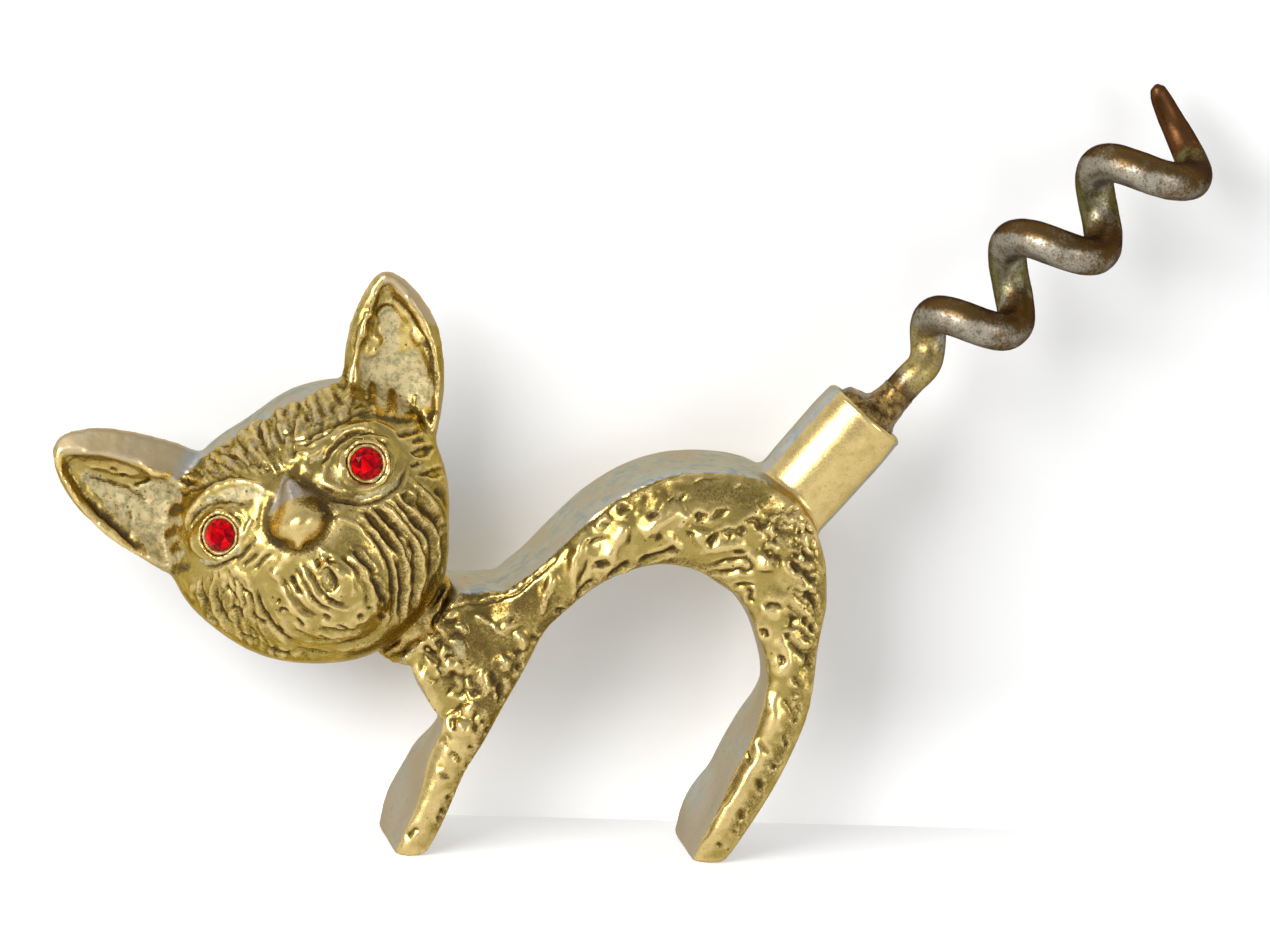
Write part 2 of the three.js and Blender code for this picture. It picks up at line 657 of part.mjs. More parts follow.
const finishes = {
  brass: { color: 0xb8954a, roughness: 0.32, metalness: 1 },
  hardSolder: { color: 0xa9a183, roughness: 0.5, metalness: 0.9 },
  softSolder: { color: 0x6b5136, roughness: 0.75, metalness: 0.5 },
  steel: { color: 0x77736b, roughness: 0.42, metalness: 1 },
  redGlass: { color: 0xc80a14, roughness: 0.08, metalness: 0 },
  cement: { color: 0xd8cfae, roughness: 0.8, metalness: 0 },
};

// One named piece with its own material
function piece(name, geometry, finish) {
  const flat = geometry.index ? geometry.toNonIndexed() : geometry;
  flat.deleteAttribute('uv');
  flat.computeVertexNormals();
  const mesh = new THREE.Mesh(flat, new THREE.MeshStandardMaterial(finishes[finish]));
  mesh.name = name;
  return mesh;
}

const model = new THREE.Group();
model.add(piece('cat_body', bodyGeometry(), 'brass'));
model.add(piece('cat_head', headGeometry(), 'brass'));
model.add(piece('neck_solder', neckSolderGeometry(), 'hardSolder'));
for (const eye of eyes) {
  model.add(piece(`${eye.name}_eye_cement`, cementGeometry(eye), 'cement'));
  model.add(piece(`${eye.name}_eye_stone`, stoneGeometry(eye), 'redGlass'));
}
model.add(piece('worm', wireGeometry(0, -shankDepth, wormEnd), 'steel'));
model.add(piece('socket_solder', socketFillGeometry(), 'softSolder'));

// The origin is under the middle of the whole object, on the surface that it stands on
const middle = new THREE.Box3().setFromObject(model).getCenter(new THREE.Vector3());
model.position.set(-middle.x, -middle.y, 0);
const group = new THREE.Group();
group.add(model);

export default group;
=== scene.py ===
"""A figural corkscrew: a cast brass cat with red stone eyes, whose tail socket holds a steel worm.

The castings, the worm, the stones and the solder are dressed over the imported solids. Every size in this
file is in millimetres until a piece is finished, and Blender's objects are in metres.
"""

import logging
import math
from dataclasses import dataclass
from enum import Enum
from typing import Callable, Iterable, Optional, Sequence

import bmesh
import bpy
import numpy as np
from mathutils import Matrix, Vector, noise


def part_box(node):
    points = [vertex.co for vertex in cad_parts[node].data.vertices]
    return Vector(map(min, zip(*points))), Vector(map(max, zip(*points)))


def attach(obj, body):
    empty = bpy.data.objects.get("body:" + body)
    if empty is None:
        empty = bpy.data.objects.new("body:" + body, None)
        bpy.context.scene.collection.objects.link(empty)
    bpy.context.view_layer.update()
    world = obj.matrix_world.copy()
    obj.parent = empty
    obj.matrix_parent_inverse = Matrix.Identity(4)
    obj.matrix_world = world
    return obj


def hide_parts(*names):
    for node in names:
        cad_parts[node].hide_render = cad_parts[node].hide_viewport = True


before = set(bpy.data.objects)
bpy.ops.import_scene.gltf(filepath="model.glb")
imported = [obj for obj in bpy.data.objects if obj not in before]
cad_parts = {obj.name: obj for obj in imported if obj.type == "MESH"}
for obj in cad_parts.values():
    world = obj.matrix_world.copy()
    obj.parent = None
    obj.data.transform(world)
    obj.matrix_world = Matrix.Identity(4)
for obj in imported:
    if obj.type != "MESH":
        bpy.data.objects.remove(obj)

logging.basicConfig(level=logging.INFO, format="%(levelname)s %(message)s")
LOG = logging.getLogger("corkscrew")

MM = 0.001
Points = np.ndarray
Path = Sequence[tuple[float, float]]
Triple = tuple[float, float, float]
Colour = Triple
Piece = bpy.types.Object
Material = bpy.types.Material
Node = bpy.types.Node
Socket = bpy.types.NodeSocket
BMesh = bmesh.types.BMesh
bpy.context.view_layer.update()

# Lowest corner of the body casting's box in the maker's own frame, where the drawing's zero is
BODY_CORNER = Vector((-23.8824, -5.8652, 0.0))
MAKERS_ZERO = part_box("cat_body")[0] / MM - BODY_CORNER

SOCKET_ANGLE = 51.5  # of the tail socket's axis over the floor, in degrees
SOCKET_MOUTH = np.array([17.568, 0.0, 38.658]) + np.array(MAKERS_ZERO)


def smoothstep(value: Points, low: float, high: float) -> Points:
    """Eases from 0 at low to 1 at high.

    Args:
        value: Values to ease.
        low: Value that gives 0.
        high: Value that gives 1.

    Returns:
        The eased values.
    """
    share = np.clip((value - low) / (high - low), 0.0, 1.0)
    return share * share * (3.0 - 2.0 * share)


def bell(reach: Points, width: float) -> Points:
    """Falls off from 1 at no reach, to about a third at the width."""
    return np.exp(-((reach / width) ** 2))


def slope(angle: float) -> tuple[Points, Points]:
    """The way up a slope along the cat, and the way out of its underside, from its angle in degrees."""
    a = math.radians(angle)
    return np.array([math.cos(a), 0.0, math.sin(a)]), np.array([math.sin(a), 0.0, -math.cos(a)])


class Mark(Enum):
    """What a tool mark does to the surface."""

    GROOVE = "cut below the surface, with dirt in it"
    RIDGE = "raised above the surface"
    PIT = "a closed outline sunk to a flat floor"
    LUMP = "a closed outline raised to a rounded top"
    STAIN = "dirt along a line, with no cut"
    PALE = "a closed outline with pale deposit on it"
    CRAZE = "a closed outline broken into small raised cells with dirt between them"
    FUR = "an outline after its first point, covered with locks that run away from that point"


MARK_LETTERS = dict(zip("GRPLSWCF", Mark))


@dataclass(frozen=True)
class Stroke:
    """One tool mark on the drawing: its kind, half width and depth, and the line it follows."""

    mark: Mark
    width: float
    depth: float
    path: Path


def traced(text: str) -> Path:
    """A line from its points, written as x,y with spaces between them."""
    return [tuple(float(v) for v in point.split(",")) for point in text.split()]


def read_marks(table: str) -> list[Stroke]:
    """Marks from a table of them.

    Args:
        table: Rows that end in ";". Each is a mark's letter, its half width and its depth, then ":" and its
            lines, with "/" between them. A line that starts with "#" names the marks under it.

    Returns:
        The marks, in the table's order.
    """
    kept = " ".join(line for line in table.splitlines() if not line.strip().startswith("#"))
    marks = []
    for row in kept.split(";"):
        head, _, paths = row.partition(":")
        if paths:
            letter, width, depth = head.split()
            size = float(width), float(depth)
            marks += [Stroke(MARK_LETTERS[letter], *size, traced(path)) for path in paths.split("/")]
    return marks


@dataclass(frozen=True)
class Drawing:
    """A flat drawing laid over a casting, square to the viewer of the photograph."""

    azimuth: float = -9.5
    elevation: float = 12.0
    turn: float = 3.6  # of the drawing's axes, clockwise, in degrees

    def axes(self) -> tuple[Vector, Vector, Vector]:
        """The drawing's right, its up, and the way to the viewer."""
        a, e, r = (math.radians(v) for v in (self.azimuth, self.elevation, self.turn))
        across = Vector((math.cos(a), math.sin(a), 0.0))
        up = Vector((-math.sin(e) * math.sin(a), math.sin(e) * math.cos(a), math.cos(e)))
        back = Vector((math.sin(a) * math.cos(e), -math.cos(a) * math.cos(e), math.sin(e)))
        right = across * math.cos(r) + up * math.sin(r)
        return right, up * math.cos(r) - across * math.sin(r), back

    def flat(self, points: Points) -> Points:
        """Where points fall on the drawing.

        Args:
            points: Points of the row's frame, in millimetres.

        Returns:
            Their places on the drawing.
        """
        right, up, _ = self.axes()
        local = points - np.array(MAKERS_ZERO)
        return np.stack([local @ np.array(right), local @ np.array(up)], axis=1)


VIEW = Drawing()
RIGHT, UP, BACK = VIEW.axes()  # the drawing's right, its up, and the way to the viewer


# Surfaces that are worked by hand


SHARP = 0.06  # crease past which a turn of the surface counts as an edge
SOFT = 9.0  # crease that no turn of the surface reaches


class Surface:
    """A closed mesh whose points are pushed along their normals, as a chaser works a casting."""

    def __init__(self, mesh: bpy.types.Mesh) -> None:
        """Takes a mesh in millimetres.

        Args:
            mesh: The mesh that is worked and written back.
        """
        self.mesh = mesh
        count = len(mesh.vertices)
        flat = np.empty(count * 3)
        mesh.vertices.foreach_get("co", flat)
        self.points = flat.reshape(-1, 3)
        pairs = np.empty(len(mesh.edges) * 2, np.int64)
        mesh.edges.foreach_get("vertices", pairs)
        self.pairs = pairs.reshape(-1, 2)
        self.degree = np.maximum(np.bincount(pairs, minlength=count), 1)[:, None]
        mesh.calc_loop_triangles()
        corners = np.empty(len(mesh.loop_triangles) * 3, np.int64)
        mesh.loop_triangles.foreach_get("vertices", corners)
        self.corners = corners.reshape(-1, 3)
        self.marks: dict[str, Points] = {}

    def spread(self, values: Points, weight: Optional[Points] = None) -> Points:
        """Averages values over each point's neighbours.

        Args:
            values: One row for each point.
            weight: One weight for each edge, 1 where it is left out.

        Returns:
            The averages, and the point's own value where it has no weight.
        """
        rows = values.reshape(len(values), -1)
        a, b = self.pairs[:, 0], self.pairs[:, 1]
        w = np.ones(len(a)) if weight is None else weight
        total = np.bincount(a, w, len(rows)) + np.bincount(b, w, len(rows))
        out = np.empty_like(rows)
        for k in range(rows.shape[1]):
            column = np.bincount(a, w * rows[b, k], len(rows)) + np.bincount(b, w * rows[a, k], len(rows))
            out[:, k] = (column + rows[:, k] * 1e-6) / (total + 1e-6)
        return out.reshape(values.shape)

    def normals(self) -> Points:
        """The outward normal at each point."""
        p = self.points
        a, b, c = (p[self.corners[:, k]] for k in range(3))
        cross = np.cross(b - a, c - a)
        total = np.zeros_like(p)
        for k in range(3):
            for axis in range(3):
                total[:, axis] += np.bincount(self.corners[:, k], cross[:, axis], len(p))
        return total / np.maximum(np.linalg.norm(total, axis=1, keepdims=True), 1e-12)

    def even(self, rounds: int, share: Optional[Points] = None) -> None:
        """Takes out steps smaller than the form and keeps the form's size.

        Args:
            rounds: How many passes.
            share: How much of it each point takes, 1 where it is left out.
        """
        rough = self.points
        smooth = rough
        for _ in range(rounds):
            smooth = 0.5 * smooth + 0.5 * self.spread(smooth)
        lost = rough - smooth
        for _ in range(rounds):
            lost = 0.5 * lost + 0.5 * self.spread(lost)
        moved = smooth + lost
        amount = 1.0 if share is None else share[:, None]
        self.points = rough + (moved - rough) * amount

    def polish(self, rounds: int, crease: float, share: Optional[Points] = None) -> None:
        """Evens each face of the form up to its edges, and leaves the edges crisp.

        Args:
            rounds: How many passes.
            crease: Turn between neighbours that counts as an edge, as one less their normals' product.
            share: How much of it each point takes, 1 where it is left out.
        """
        amount = 1.0 if share is None else share[:, None]
        for step in range(rounds):
            if step % 4 == 0:
                n = self.normals()
                bend = 1.0 - np.sum(n[self.pairs[:, 0]] * n[self.pairs[:, 1]], axis=1)
                weight = np.exp(-bend / crease)
            self.points = self.points + 0.5 * amount * (self.spread(self.points, weight) - self.points)

    def push(self, height: Points) -> None:
        """Moves each point along its normal.

        Args:
            height: How far, outwards, for each point.
        """
        self.points = self.points + self.normals() * height[:, None]

    def hollow(self, rounds: int) -> Points:
        """How far each point lies below its surroundings, in millimetres.

        Args:
            rounds: How wide the surroundings are.

        Returns:
            The depth, less than zero on crests.
        """
        around = self.points
        for _ in range(rounds):
            around = self.spread(around)
        return np.sum((around - self.points) * self.normals(), axis=1)

    def write(self) -> None:
        """Puts the points and the marks back into the mesh, and turns it smooth."""
        self.mesh.vertices.foreach_set("co", self.points.ravel())
        for name, values in self.marks.items():
            layer = self.mesh.attributes.new(name, "FLOAT", "POINT")
            layer.data.foreach_set("value", np.clip(values, 0.0, 1.0).astype(np.float32))
        self.mesh.polygons.foreach_set("use_smooth", [True] * len(self.mesh.polygons))
        self.mesh.update()


def path_reach(flat: Points, path: Path) -> tuple[Points, Points]:
    """How far places on a drawing are from a line, and how far along it.

    Args:
        flat: Places on the drawing.
        path: The line.

    Returns:
        The distance of each place, and its share of the way along.
    """
    line = np.array(path, float)
    best = np.full(len(flat), 1e9)
    along = np.zeros(len(flat))
    lengths = np.linalg.norm(np.diff(line, axis=0), axis=1)
    whole = max(lengths.sum(), 1e-9)
    done = 0.0
    for start, end, length in zip(line[:-1], line[1:], lengths):
        run = end - start
        t = np.clip(((flat - start) @ run) / max(length * length, 1e-12), 0.0, 1.0)
        off = np.linalg.norm(flat - start - t[:, None] * run, axis=1)
        nearer = off < best
        best[nearer] = off[nearer]
        along[nearer] = (done + t[nearer] * length) / whole
        done += length
    return best, along


def inside(flat: Points, path: Path) -> Points:
    """Which places on a drawing a closed outline holds."""
    line = np.array(path, float)
    held = np.zeros(len(flat), bool)
    x, y = flat[:, 0], flat[:, 1]
    for (x0, y0), (x1, y1) in zip(line, np.roll(line, -1, axis=0)):
        if y0 == y1:
            continue
        crosses = (y0 > y) != (y1 > y)
        held ^= crosses & (x < (x1 - x0) * (y - y0) / (y1 - y0) + x0)
    return held


def depth_inside(flat: Points, outline: Path) -> Points:
    """How deep places on a drawing lie inside a closed outline, less than zero outside it."""
    reach, _ = path_reach(flat, [*outline, outline[0]])
    return np.where(inside(flat, outline), reach, -reach)


def eased_path(path: Path) -> Path:
    """A line with its corners cut, so that a mark bends as a hand draws it."""
    line = np.array(path, float)
    for _ in range(2):
        if len(line) < 3:
            break
        inner = [line[0]]
        for a, b in zip(line[:-1], line[1:]):
            inner += [0.75 * a + 0.25 * b, 0.25 * a + 0.75 * b]
        line = np.array(inner + [line[-1]])
    return [tuple(p) for p in line]


@dataclass
class Relief:
    """The height, dirt with painted shade, and pale deposit that a set of marks leaves on a surface."""

    height: Points
    stain: Points
    pale: Points

    @classmethod
    def over(cls, count: int) -> "Relief":
        """A relief with nothing on it yet."""
        return cls(np.zeros(count), np.zeros(count), np.zeros(count))

    def darken(self, near: Points, dirt: Points) -> None:
        """Lays dirt on some of the points, over what is there."""
        self.stain[near] = np.maximum(self.stain[near], dirt)

    def craze(self, near: Points, flat: Points, mark: Stroke, share: Points) -> None:
        """Breaks part of the surface into small cells.

        Args:
            near: Which of the surface's points they are.
            flat: Their places on the drawing.
            mark: The mark, whose width is the size of a cell.
            share: How much of it each point takes.
        """
        gap = cell_gap(flat, mark.width)
        deep = np.hstack([flat, np.zeros((len(flat), 1))])
        broken = smoothstep(grain(deep, 1.5 * mark.width, 3.3), -0.3, 0.15)
        line = bell(gap, 0.10 + 0.06 * mark.width) * broken
        self.height[near] += mark.depth * (0.6 * smoothstep(gap, 0.0, 0.5 * mark.width) - line) * share
        self.darken(near, 0.7 * line * share)

    def fur(self, near: Points, flat: Points, mark: Stroke, share: Points) -> None:
        """Covers part of the surface with uneven locks.

        Args:
            near: Which of the surface's points they are.
            flat: Their places on the drawing.
            mark: The mark, whose width is that of a lock, and whose first point is where the locks come from.
            share: How much of it each point takes.
        """
        off = flat - np.array(mark.path[0])
        way = np.array(mark.path[1:]).mean(0) - np.array(mark.path[0])
        middle = float(np.linalg.norm(way))
        turn = np.arctan2(off[:, 0] * way[1] - off[:, 1] * way[0], off @ way)
        reach = np.linalg.norm(off, axis=1)
        place = np.stack([turn * middle / mark.width, reach / (3.0 * mark.width), 0.0 * reach], axis=1)
        lock = 3.0 * np.abs(grain(place, 1.0, 7.7) + 0.25 * grain(place, 0.45, 2.2))
        self.height[near] += mark.depth * (np.minimum(lock, 1.0) ** 0.8 - 0.5) * share
        self.darken(near, 0.5 * bell(lock, 0.24) * share)

    def cut(self, flat: Points, marks: Iterable[Stroke], mask: Points) -> None:
        """Adds marks where the mask lets them through.

        Args:
            flat: Places of the surface's points on the drawing.
            marks: The marks.
            mask: How much of a mark each point takes.
        """
        for mark in marks:
            closed = mark.mark in (Mark.PIT, Mark.LUMP, Mark.PALE, Mark.CRAZE, Mark.FUR)
            outline = list(mark.path)[1 if mark.mark is Mark.FUR else 0:]
            path = outline + [outline[0]] if closed else eased_path(mark.path)
            line = np.array(path)
            margin = 3.0 * mark.width + 0.3
            low, high = line.min(0) - margin, line.max(0) + margin
            near = np.nonzero(np.all((flat > low) & (flat < high), axis=1) & (mask > 0.01))[0]
            if len(near) == 0:
                continue
            reach, along = path_reach(flat[near], path)
            share = mask[near]
            if not closed:
                self.line(near, mark, reach, np.minimum(along, 1.0 - along), share)
                continue
            deep = np.where(inside(flat[near], outline), reach, -reach)
            floor = smoothstep(deep, -0.5 * mark.width, mark.width)
            if mark.mark is Mark.PIT:
                lip = bell(deep + 1.3 * mark.width, 0.9 * mark.width)
                self.height[near] -= mark.depth * (floor - 0.22 * lip) * share
                self.darken(near, 0.6 * bell(deep - 0.3 * mark.width, 0.8 * mark.width) * share)
                inner = smoothstep(deep, mark.width, 1.8 * mark.width)
                self.pale[near] = np.maximum(self.pale[near], 0.45 * inner * share)
            elif mark.mark is Mark.LUMP:
                self.height[near] += mark.depth * floor * share
            elif mark.mark is Mark.CRAZE:
                self.craze(near, flat[near], mark, smoothstep(deep, -0.3, 0.7) * share)
            elif mark.mark is Mark.FUR:
                self.fur(near, flat[near], mark, smoothstep(deep, -0.4, 0.6) * share)
            else:
                self.pale[near] = np.maximum(self.pale[near], mark.depth * floor * share)

    def line(self, near: Points, mark: Stroke, reach: Points, from_end: Points, share: Points) -> None:
        """Adds a groove, a ridge or a line of dirt.

        Args:
            near: Which of the surface's points it touches.
            mark: The mark.
            reach: How far they are from its line.
            from_end: How far they are from its nearer end, as a share of its length.
            share: How much of it each point takes.
        """
        shape = bell(reach, mark.width)
        if mark.mark is Mark.GROOVE:
            taper = np.sqrt(np.clip(from_end * 6.0, 0.05, 1.0))
            lip = bell(reach - 1.9 * mark.width, 0.8 * mark.width)
            self.height[near] -= mark.depth * (shape - 0.22 * lip) * taper * share
            self.darken(near, bell(reach, 0.75 * mark.width) * taper * min(0.8, mark.depth * 2.6) * share)
        elif mark.mark is Mark.RIDGE:
            shape = shape * np.sqrt(np.clip(from_end * 5.0, 0.02, 1.0))
            self.height[near] += mark.depth * shape * share
            self.stain[near] *= 1.0 - shape * share
            self.pale[near] *= 1.0 - shape * share
        else:
            self.darken(near, mark.depth * shape * share)


def cell_gap(flat: Points, size: float) -> Points:
    """How far places on a drawing are from the border between scattered cells, in millimetres.

    Args:
        flat: Places on the drawing.
        size: Size of the cells.

    Returns:
        The distances, 0 on a border.
    """
    out = np.empty(len(flat))
    for i, (x, y) in enumerate((flat / size).tolist()):
        shift = 0.45 * noise.noise((1.7 * x, 1.7 * y, 5.0))
        reach = noise.voronoi((x + shift, y - shift, 0.0))[0]
        out[i] = reach[1] - reach[0]
    return out * size


def grain(points: Points, size: float, seed: float, detail: int = 0) -> Points:
    """Noise that is fixed to the surface.

    Args:
        points: Points in millimetres.
        size: Size of its lumps.
        seed: Shift that makes it another noise.
        detail: How many finer noises are laid over it.

    Returns:
        Values from about -1 to 1.
    """
    scaled = points / size + seed
    if detail:
        return np.array([noise.fractal(p, 0.7, 2.1, detail) for p in scaled.tolist()])
    return np.array([noise.noise(p) for p in scaled.tolist()])


def dents(points: Points, rows: Sequence[Triple]) -> Points:
    """Noises laid over one another, each from its size, its seed and its height."""
    return sum(grain(points, size, seed) * height for size, seed, height in rows)


def wavered(flat: Points, points: Points, amount: float, size: float, seed: float) -> Points:
    """Places on a drawing shifted a little by noise, so that no mark has a ruled edge.

    Args:
        flat: Places on the drawing.
        points: The surface's points that they belong to.
        amount: Greatest shift in millimetres.
        size: Size of the noise.
        seed: Shift that makes it another noise.

    Returns:
        The shifted places.
    """
    shift = np.stack([grain(points, size, seed), grain(points, size, seed + 31.0)], axis=1)
    return flat + 1.6 * amount * shift


def random_strokes(
    seed: int, count: int, low: tuple[float, float], high: tuple[float, float], lean: Callable, size: float
) -> list[Stroke]:
    """Short tool marks scattered over part of a drawing.

    Args:
        seed: Seed of the scatter.
        count: How many marks.
        low: Lowest corner of the part.
        high: Highest corner of the part.
        lean: Gives the marks' direction at a place, in radians.
        size: Their length.

    Returns:
        The marks, grooves and ridges by turns.
    """
    rng = np.random.default_rng(seed)
    out = []
    for i in range(count):
        x, y = rng.uniform(low[0], high[0]), rng.uniform(low[1], high[1])
        path = [(x, y)]
        turn = lean(x, y) + rng.normal(0.0, 0.3)
        for _ in range(3):
            turn += rng.normal(0.0, 0.28)
            step = size * rng.uniform(0.6, 1.3) / 3.0
            x, y = x + step * math.cos(turn), y + step * math.sin(turn)
            path.append((x, y))
        groove = i % 3 != 2
        mark = Mark.GROOVE if groove else Mark.RIDGE
        out.append(Stroke(mark, rng.uniform(0.12, 0.26), rng.uniform(0.05, 0.15), path))
    return out


# Meshes


def mesh_object(name: str, bm: BMesh) -> Piece:
    """Makes an object of a bmesh and frees it.

    Args:
        name: The piece's name.
        bm: Its shape.

    Returns:
        The object, in the scene's collection.
    """
    mesh = bpy.data.meshes.new(name)
    bm.to_mesh(mesh)
    bm.free()
    made = bpy.data.objects.new(name, mesh)
    bpy.context.scene.collection.objects.link(made)
    return made


def casting_copy(node: str) -> BMesh:
    """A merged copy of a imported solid, in millimetres.

    Args:
        node: The solid's name.

    Returns:
        The copy.
    """
    bm = bmesh.new()
    bm.from_mesh(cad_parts[node].data)
    bmesh.ops.scale(bm, vec=Vector((1 / MM,) * 3), verts=bm.verts)
    bmesh.ops.remove_doubles(bm, verts=bm.verts, dist=0.002)
    return bm


def skinned(name: str, bm: BMesh, size: float) -> Piece:
    """Makes a piece with an even skin of small quads over a shape.

    Args:
        name: The piece's name.
        bm: The shape, in millimetres.
        size: Side of the quads.

    Returns:
        The piece.
    """
    piece = mesh_object(name, bm)
    skin = piece.modifiers.new("even_skin", "REMESH")
    skin.mode = "VOXEL"
    skin.voxel_size = size
    graph = bpy.context.evaluated_depsgraph_get()
    mesh = bpy.data.meshes.new_from_object(piece.evaluated_get(graph))
    piece.modifiers.clear()
    old = piece.data
    piece.data = mesh
    mesh.name = piece.name
    bpy.data.meshes.remove(old)
    return piece


def finer_skin(piece: Piece, chosen: Callable[[Vector, Vector], bool]) -> None:
    """Splits the faces that a test picks, so that fine marks can be cut there.

    Args:
        piece: The piece, in millimetres.
        chosen: Says from a face's middle and normal whether it is split.
    """
    bm = bmesh.new()
    bm.from_mesh(piece.data)
    bm.normal_update()
    edges = {e for f in bm.faces if chosen(f.calc_center_median(), f.normal) for e in f.edges}
    bmesh.ops.subdivide_edges(bm, edges=list(edges), cuts=1, use_grid_fill=True)
    bmesh.ops.triangulate(bm, faces=[f for f in bm.faces if len(f.verts) > 4])
    bm.to_mesh(piece.data)
    bm.free()


def draw_bar(bm: BMesh, segments: int, rings: Sequence[Matrix]) -> None:
    """Draws a round bar through rings, closed at both ends.

    Args:
        bm: The shape that it joins.
        segments: How many sides it has.
        rings: What turns a flat ring of radius 1 into each of its rings.
    """
    ring = set(bmesh.ops.create_circle(bm, cap_ends=True, segments=segments, radius=1.0)["verts"])
    edges = [e for e in bm.edges if ring.issuperset(e.verts)]
    bmesh.ops.transform(bm, matrix=rings[0], verts=list(ring))
    for last, place in zip(rings[:-1], rings[1:]):
        grown = bmesh.ops.extrude_edge_only(bm, edges=edges)["geom"]
        ring = {g for g in grown if isinstance(g, bmesh.types.BMVert)}
        edges = [g for g in grown if isinstance(g, bmesh.types.BMEdge) and ring.issuperset(g.verts)]
        bmesh.ops.transform(bm, matrix=place @ last.inverted(), verts=list(ring))
    bmesh.ops.edgeloop_fill(bm, edges=edges)
    bmesh.ops.recalc_face_normals(bm, faces=bm.faces)


def set_down(piece: Piece, material: Material, slot: str, *nodes: str) -> None:
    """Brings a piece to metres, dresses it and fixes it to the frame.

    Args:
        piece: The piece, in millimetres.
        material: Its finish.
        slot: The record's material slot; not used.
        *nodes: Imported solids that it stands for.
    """
    piece.data.transform(Matrix.Scale(MM, 4))
    piece.data.materials.clear()
    piece.data.materials.append(material)
    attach(piece, "root")
    if nodes:
        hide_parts(*nodes)
    LOG.info("%s: %d faces", piece.name, len(piece.data.polygons))


# Finishes


class Nodes:
    """A node tree, with one short method for each node that the finishes use."""

    def __init__(self, name: str, world: bool = False) -> None:
        """Starts an empty material, or an empty world."""
        self.made = (bpy.data.worlds if world else bpy.data.materials).new(name)
        self.made.use_nodes = True
        self.tree = self.made.node_tree
        self.tree.nodes.clear()
        self.output = self.new("OutputWorld" if world else "OutputMaterial")
        self.place = self.new("TexCoord").outputs["Generated" if world else "Object"]

    def feed(self, socket: Socket, value: object) -> None:
        """Links a socket, or a node's first, to an input, or sets the input's value."""
        if isinstance(value, (Socket, Node)):
            self.tree.links.new(value.outputs[0] if isinstance(value, Node) else value, socket)
        else:
            socket.default_value = value

    def new(self, kind: str, *fed: object, **named: object) -> Node:
        """Adds a node.

        Args:
            kind: Its type, without ShaderNode.
            *fed: What its first sockets take, in order.
            **named: Its settings, in small letters, and its sockets, with a capital and _ for a space.

        Returns:
            The node.
        """
        node = self.tree.nodes.new("ShaderNode" + kind)
        for name, value in named.items():
            if name.islower():
                setattr(node, name, value)
            else:
                self.feed(node.inputs[name.replace("_", " ")], value)
        for socket, value in zip(node.inputs, fed):
            self.feed(socket, value)
        return node

    def mark(self, name: str) -> Socket:
        """A value that the surface carries."""
        return self.new("Attribute", attribute_name=name).outputs["Fac"]

    def stretched(self, scale: Triple, turn: Triple) -> Socket:
        """Object coordinates, turned and then scaled."""
        turned = self.new("Mapping", Rotation=turn, Vector=self.place)
        return self.new("Mapping", Scale=scale, Vector=turned).outputs["Vector"]

    def cloud(self, size: float, detail: float = 3.0, rough: float = 0.55, place: object = None) -> Socket:
        """Noise with lumps of a size in millimetres."""
        scale = 1.0 / (size * MM)
        node = self.new("TexNoise", Scale=scale, Detail=detail, Roughness=rough, Vector=place or self.place)
        return node.outputs["Fac"]

    def cells(self, size: float) -> Socket:
        """Distance to the nearest of scattered points, a size in millimetres apart."""
        return self.new("TexVoronoi", Scale=1.0 / (size * MM), Vector=self.place).outputs["Distance"]

    def ease(self, value: object, low: float, high: float, start: float = 0.0, end: float = 1.0) -> Socket:
        """A value carried from one range to another, held at its ends."""
        ends = {"From_Min": low, "From_Max": high, "To_Min": start, "To_Max": end}
        return self.new("MapRange", interpolation_type="SMOOTHSTEP", Value=value, **ends).outputs["Result"]

    def swing(self, value: object, half: float, height: float) -> Socket:
        """Noise carried from its middle range to as far below nothing as above it."""
        return self.ease(value, 0.5 - half, 0.5 + half, -height, height)

    def sum(self, operation: str, a: object, b: object, clamp: bool = False) -> Socket:
        """Arithmetic on two values."""
        return self.new("Math", a, b, operation=operation, use_clamp=clamp).outputs[0]

    def blend(self, share: object, a: object, b: object) -> Socket:
        """One colour laid over another by a share."""
        node = self.new("Mix", share, data_type="RGBA")
        self.feed(node.inputs[6], self.solid(a))
        self.feed(node.inputs[7], self.solid(b))
        return node.outputs[2]

    @staticmethod
    def solid(colour: object) -> object:
        """A colour as a socket takes it."""
        return colour if isinstance(colour, Socket) else (*colour, 1.0)

    def bump(self, height: object, depth: float, strength: float, **under: object) -> Socket:
        """A normal pushed by a height, with its depth in millimetres."""
        return self.new("Bump", Strength=strength, Distance=depth * MM, Height=height, **under).outputs["Normal"]

    def end(self, shader: Node) -> Material | bpy.types.World:
        """Ends the tree in a shader."""
        self.feed(self.output.inputs["Surface"], shader)
        return self.made

    def shader(self, **inputs: object) -> Material:
        """Ends the material in a Principled shader, whose sockets are given by name."""
        return self.end(self.new("BsdfPrincipled", **inputs))


